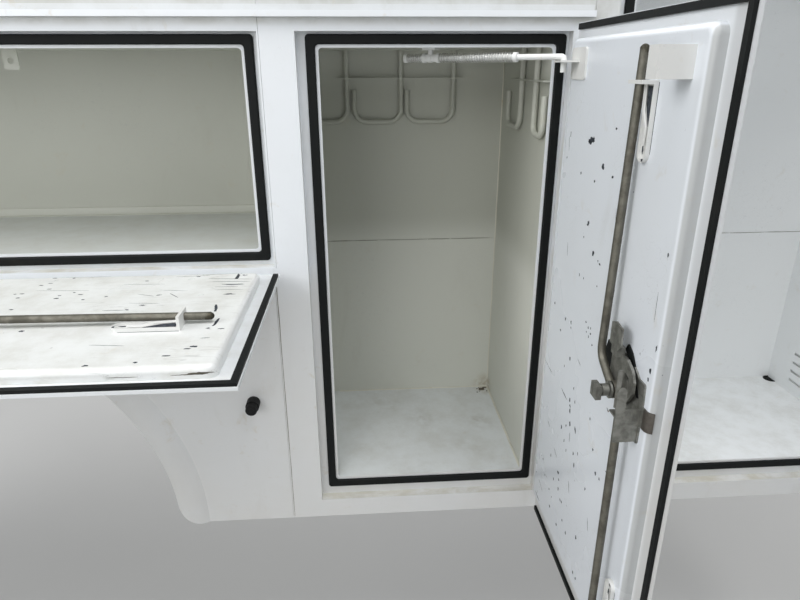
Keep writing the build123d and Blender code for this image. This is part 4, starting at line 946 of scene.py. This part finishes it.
# Dark joints beside the panel over the wheel, as their low and high ends and width
JOINT_LINES = ((-0.556, -0.380, 0.0012), (-0.385, -0.160, 0.0015), (-0.165, 0.030, 0.0018))
JOINT_HEIGHTS = (-0.0003, 0.0004)
front_wall = Matrix(((1, 0, 0, 0), (0, 0, 1, FACE_Y), (0, 1, 0, 0), (0, 0, 0, 1)))
wheel_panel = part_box("face_wheel")
front_joint = (wheel_panel[1][0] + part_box("face_mid")[0][0]) / 2
rear_joint = (wheel_panel[0][0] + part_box("face_rear")[1][0]) / 2
bm = bmesh.new()
for x in (front_joint, rear_joint):
    for z0, z1, width in JOINT_LINES:
        flat = streak_outline(rng, x, z0, x, z1, width, 0.6)
        add_plate(bm, front_wall, flat, *JOINT_HEIGHTS)
add_piece("panel_joints", bm, "cabinet", "seam_grime", smooth=20.0)

# Hanging plate with a hole, under the ceiling of the bay over the wheel
PLATE_X = (-0.156, -0.128)
PLATE_Y = (-0.3472, -0.3448)
PLATE_Z = (0.412, 0.4515)
PLATE_CORNERS = 24
HOLE = Vector((-0.142, 0.428))
HOLE_RADIUS = 0.0055
outer, inner = [], []
for corner in circle(PLATE_CORNERS, 0.5):
    way = Vector(corner)
    reach_x = (PLATE_X[1] - HOLE.x if way.x > 0 else HOLE.x - PLATE_X[0]) / max(abs(way.x), 1e-6)
    reach_z = (PLATE_Z[1] - HOLE.y if way.y > 0 else HOLE.y - PLATE_Z[0]) / max(abs(way.y), 1e-6)
    outer.append(HOLE + way * min(reach_x, reach_z))
    inner.append(HOLE + way * HOLE_RADIUS)
bm = bmesh.new()
sheets = [[[bm.verts.new((p.x, y, p.y)) for p in ring] for ring in (outer, inner)] for y in PLATE_Y]
for k in range(PLATE_CORNERS):
    after = (k + 1) % PLATE_CORNERS
    for edge, hollow in sheets:
        bm.faces.new((edge[k], edge[after], hollow[after], hollow[k]))
    for near_ring, far_ring in zip(*sheets):
        bm.faces.new((near_ring[k], near_ring[after], far_ring[after], far_ring[k]))
add_piece("hanging_plate", bm, "cabinet", "inside_paint", smooth=30.0)

# Folded upstand along the back of the bay over the wheel, as places out from the wall and over the floor
UPSTAND = ((0.0002, 0.0), (0.0070, 0.0), (0.0070, 0.0012), (0.0034, 0.0034), (0.0028, 0.0190),
           (0.0022, 0.0200), (0.0002, 0.0206))
UPSTAND_X = (-1.166, 0.296)
lengthwise = Matrix(((0, 0, 1, 0), (1, 0, 0, 0), (0, 1, 0, 0), (0, 0, 0, 1)))
bm = bmesh.new()
add_plate(bm, lengthwise, [(INNER_Y - out, WHEEL_FLOOR_Z + up) for out, up in UPSTAND], *UPSTAND_X)
add_piece("floor_upstand", bm, "cabinet", "inside_paint", smooth=30.0)

# Studio: camera
camera_data = bpy.data.cameras.new("camera")
camera_data.lens = CAMERA_LENS
camera_data.sensor_width = CAMERA_SENSOR
camera_data.sensor_fit = "HORIZONTAL"
camera_data.clip_start = CAMERA_CLIP
camera = bpy.data.objects.new("camera", camera_data)
bpy.context.scene.collection.objects.link(camera)
pitch = math.radians(CAMERA_PITCH)
yaw = math.radians(CAMERA_YAW)
roll = math.radians(CAMERA_ROLL)
forward = Vector((math.sin(yaw) * math.cos(pitch), math.cos(yaw) * math.cos(pitch), -math.sin(pitch)))
level_right = Vector((math.cos(yaw), -math.sin(yaw), 0))
level_up = level_right.cross(forward)
right = level_right * math.cos(roll) + level_up * math.sin(roll)
upward = level_up * math.cos(roll) - level_right * math.sin(roll)
turn = Matrix((right, upward, -forward)).transposed().to_4x4()
turn.translation = CAMERA_AT
camera.matrix_world = turn
bpy.context.scene.camera = camera

# Lamps as place, aim, size and power
LAMPS = {
    "overhead": ((0.9, -1.8, 4.5), (0.3, -0.4, 0.0), 4.2, 160.0),
    "front": ((-1.6, -4.8, 1.4), (0.2, -0.3, 0.0), 3.0, 60.0),
    "left": ((-3.2, -2.0, 2.4), (0.9, -0.6, 0.1), 2.4, 96.0),
    "side": ((3.6, -3.4, 1.8), (0.8, -0.2, 0.0), 3.0, 25.0),
    "back": ((0.0, 4.5, 3.2), (0.0, 0.0, 0.0), 4.0, 50.0),
}
for name, (at, towards, size, power) in LAMPS.items():
    lamp_data = bpy.data.lights.new(name, "AREA")
    lamp_data.shape = "DISK"
    lamp_data.size = size
    lamp_data.energy = power
    lamp = bpy.data.objects.new(name, lamp_data)
    bpy.context.scene.collection.objects.link(lamp)
    lamp.location = at
    lamp.rotation_mode = "QUATERNION"
    lamp.rotation_quaternion = (Vector(towards) - Vector(at)).to_track_quat("-Z", "Y")

# Background: brighter to the camera and in reflections than it lights
WORLD_COLOUR = (0.93, 0.95, 0.97, 1.0)
WORLD_LIGHT = 0.30
WORLD_SEEN = 0.90
world = bpy.data.worlds.new("studio")
bpy.context.scene.world = world
world.use_nodes = True
tree = world.node_tree
background = tree.nodes["Background"]
background.inputs["Color"].default_value = WORLD_COLOUR
light_path = tree.nodes.new("ShaderNodeLightPath")
seen = tree.nodes.new("ShaderNodeMath")
seen.operation = "MAXIMUM"
tree.links.new(light_path.outputs["Is Camera Ray"], seen.inputs[0])
tree.links.new(light_path.outputs["Is Glossy Ray"], seen.inputs[1])
strength = tree.nodes.new("ShaderNodeMapRange")
strength.inputs["To Min"].default_value = WORLD_LIGHT
strength.inputs["To Max"].default_value = WORLD_SEEN
tree.links.new(seen.outputs[0], strength.inputs["Value"])
tree.links.new(strength.outputs[0], background.inputs["Strength"])

# Studio floor: pale where it is seen, darker for the light it returns, and glowing towards the horizon
FLOOR_PALE = ((0.62, 0.62, 0.61), (0.66, 0.66, 0.65))
FLOOR_RETURN = (0.36, 0.355, 0.34)
FLOOR_GLOW = (0.78, 0.79, 0.80, 1.0)
FLOOR_HALF = 20.0
ground = Shader("studio_floor")
pale = ground.mix(ground.noise(1.5, 3.0), *FLOOR_PALE)
rays = ground.node("ShaderNodeLightPath").outputs
shown = ground.math("MAXIMUM", rays["Is Camera Ray"], rays["Is Glossy Ray"])
shown = ground.math("MAXIMUM", shown, rays["Is Transmission Ray"])
far = ground.step(ground.math("ABSOLUTE", ground.x), 2.2, 6.0)
far = ground.math("MAXIMUM", far, ground.step(ground.y, 1.2, 5.0))
far = ground.math("MAXIMUM", far, ground.rest(ground.step(ground.y, -7.0, -3.0)))
glow = ground.times(far, shown)
near_colour = ground.mix(shown, FLOOR_RETURN, pale)
ground.set(Base_Color=ground.mix(glow, near_colour, (0, 0, 0)), Roughness=0.8, Emission_Strength=glow)
ground.bsdf.inputs["Emission Color"].default_value = FLOOR_GLOW
bm = bmesh.new()
bmesh.ops.create_grid(bm, x_segments=1, y_segments=1, size=FLOOR_HALF)
bmesh.ops.translate(bm, verts=bm.verts, vec=(0, 0, GROUND_Z))
floor_mesh = bpy.data.meshes.new("studio_floor")
bm.to_mesh(floor_mesh)
bm.free()
floor_mesh.materials.append(ground.material)
floor_object = bpy.data.objects.new("studio_floor", floor_mesh)
bpy.context.scene.collection.objects.link(floor_object)

bpy.context.scene.view_settings.view_transform = "Standard"
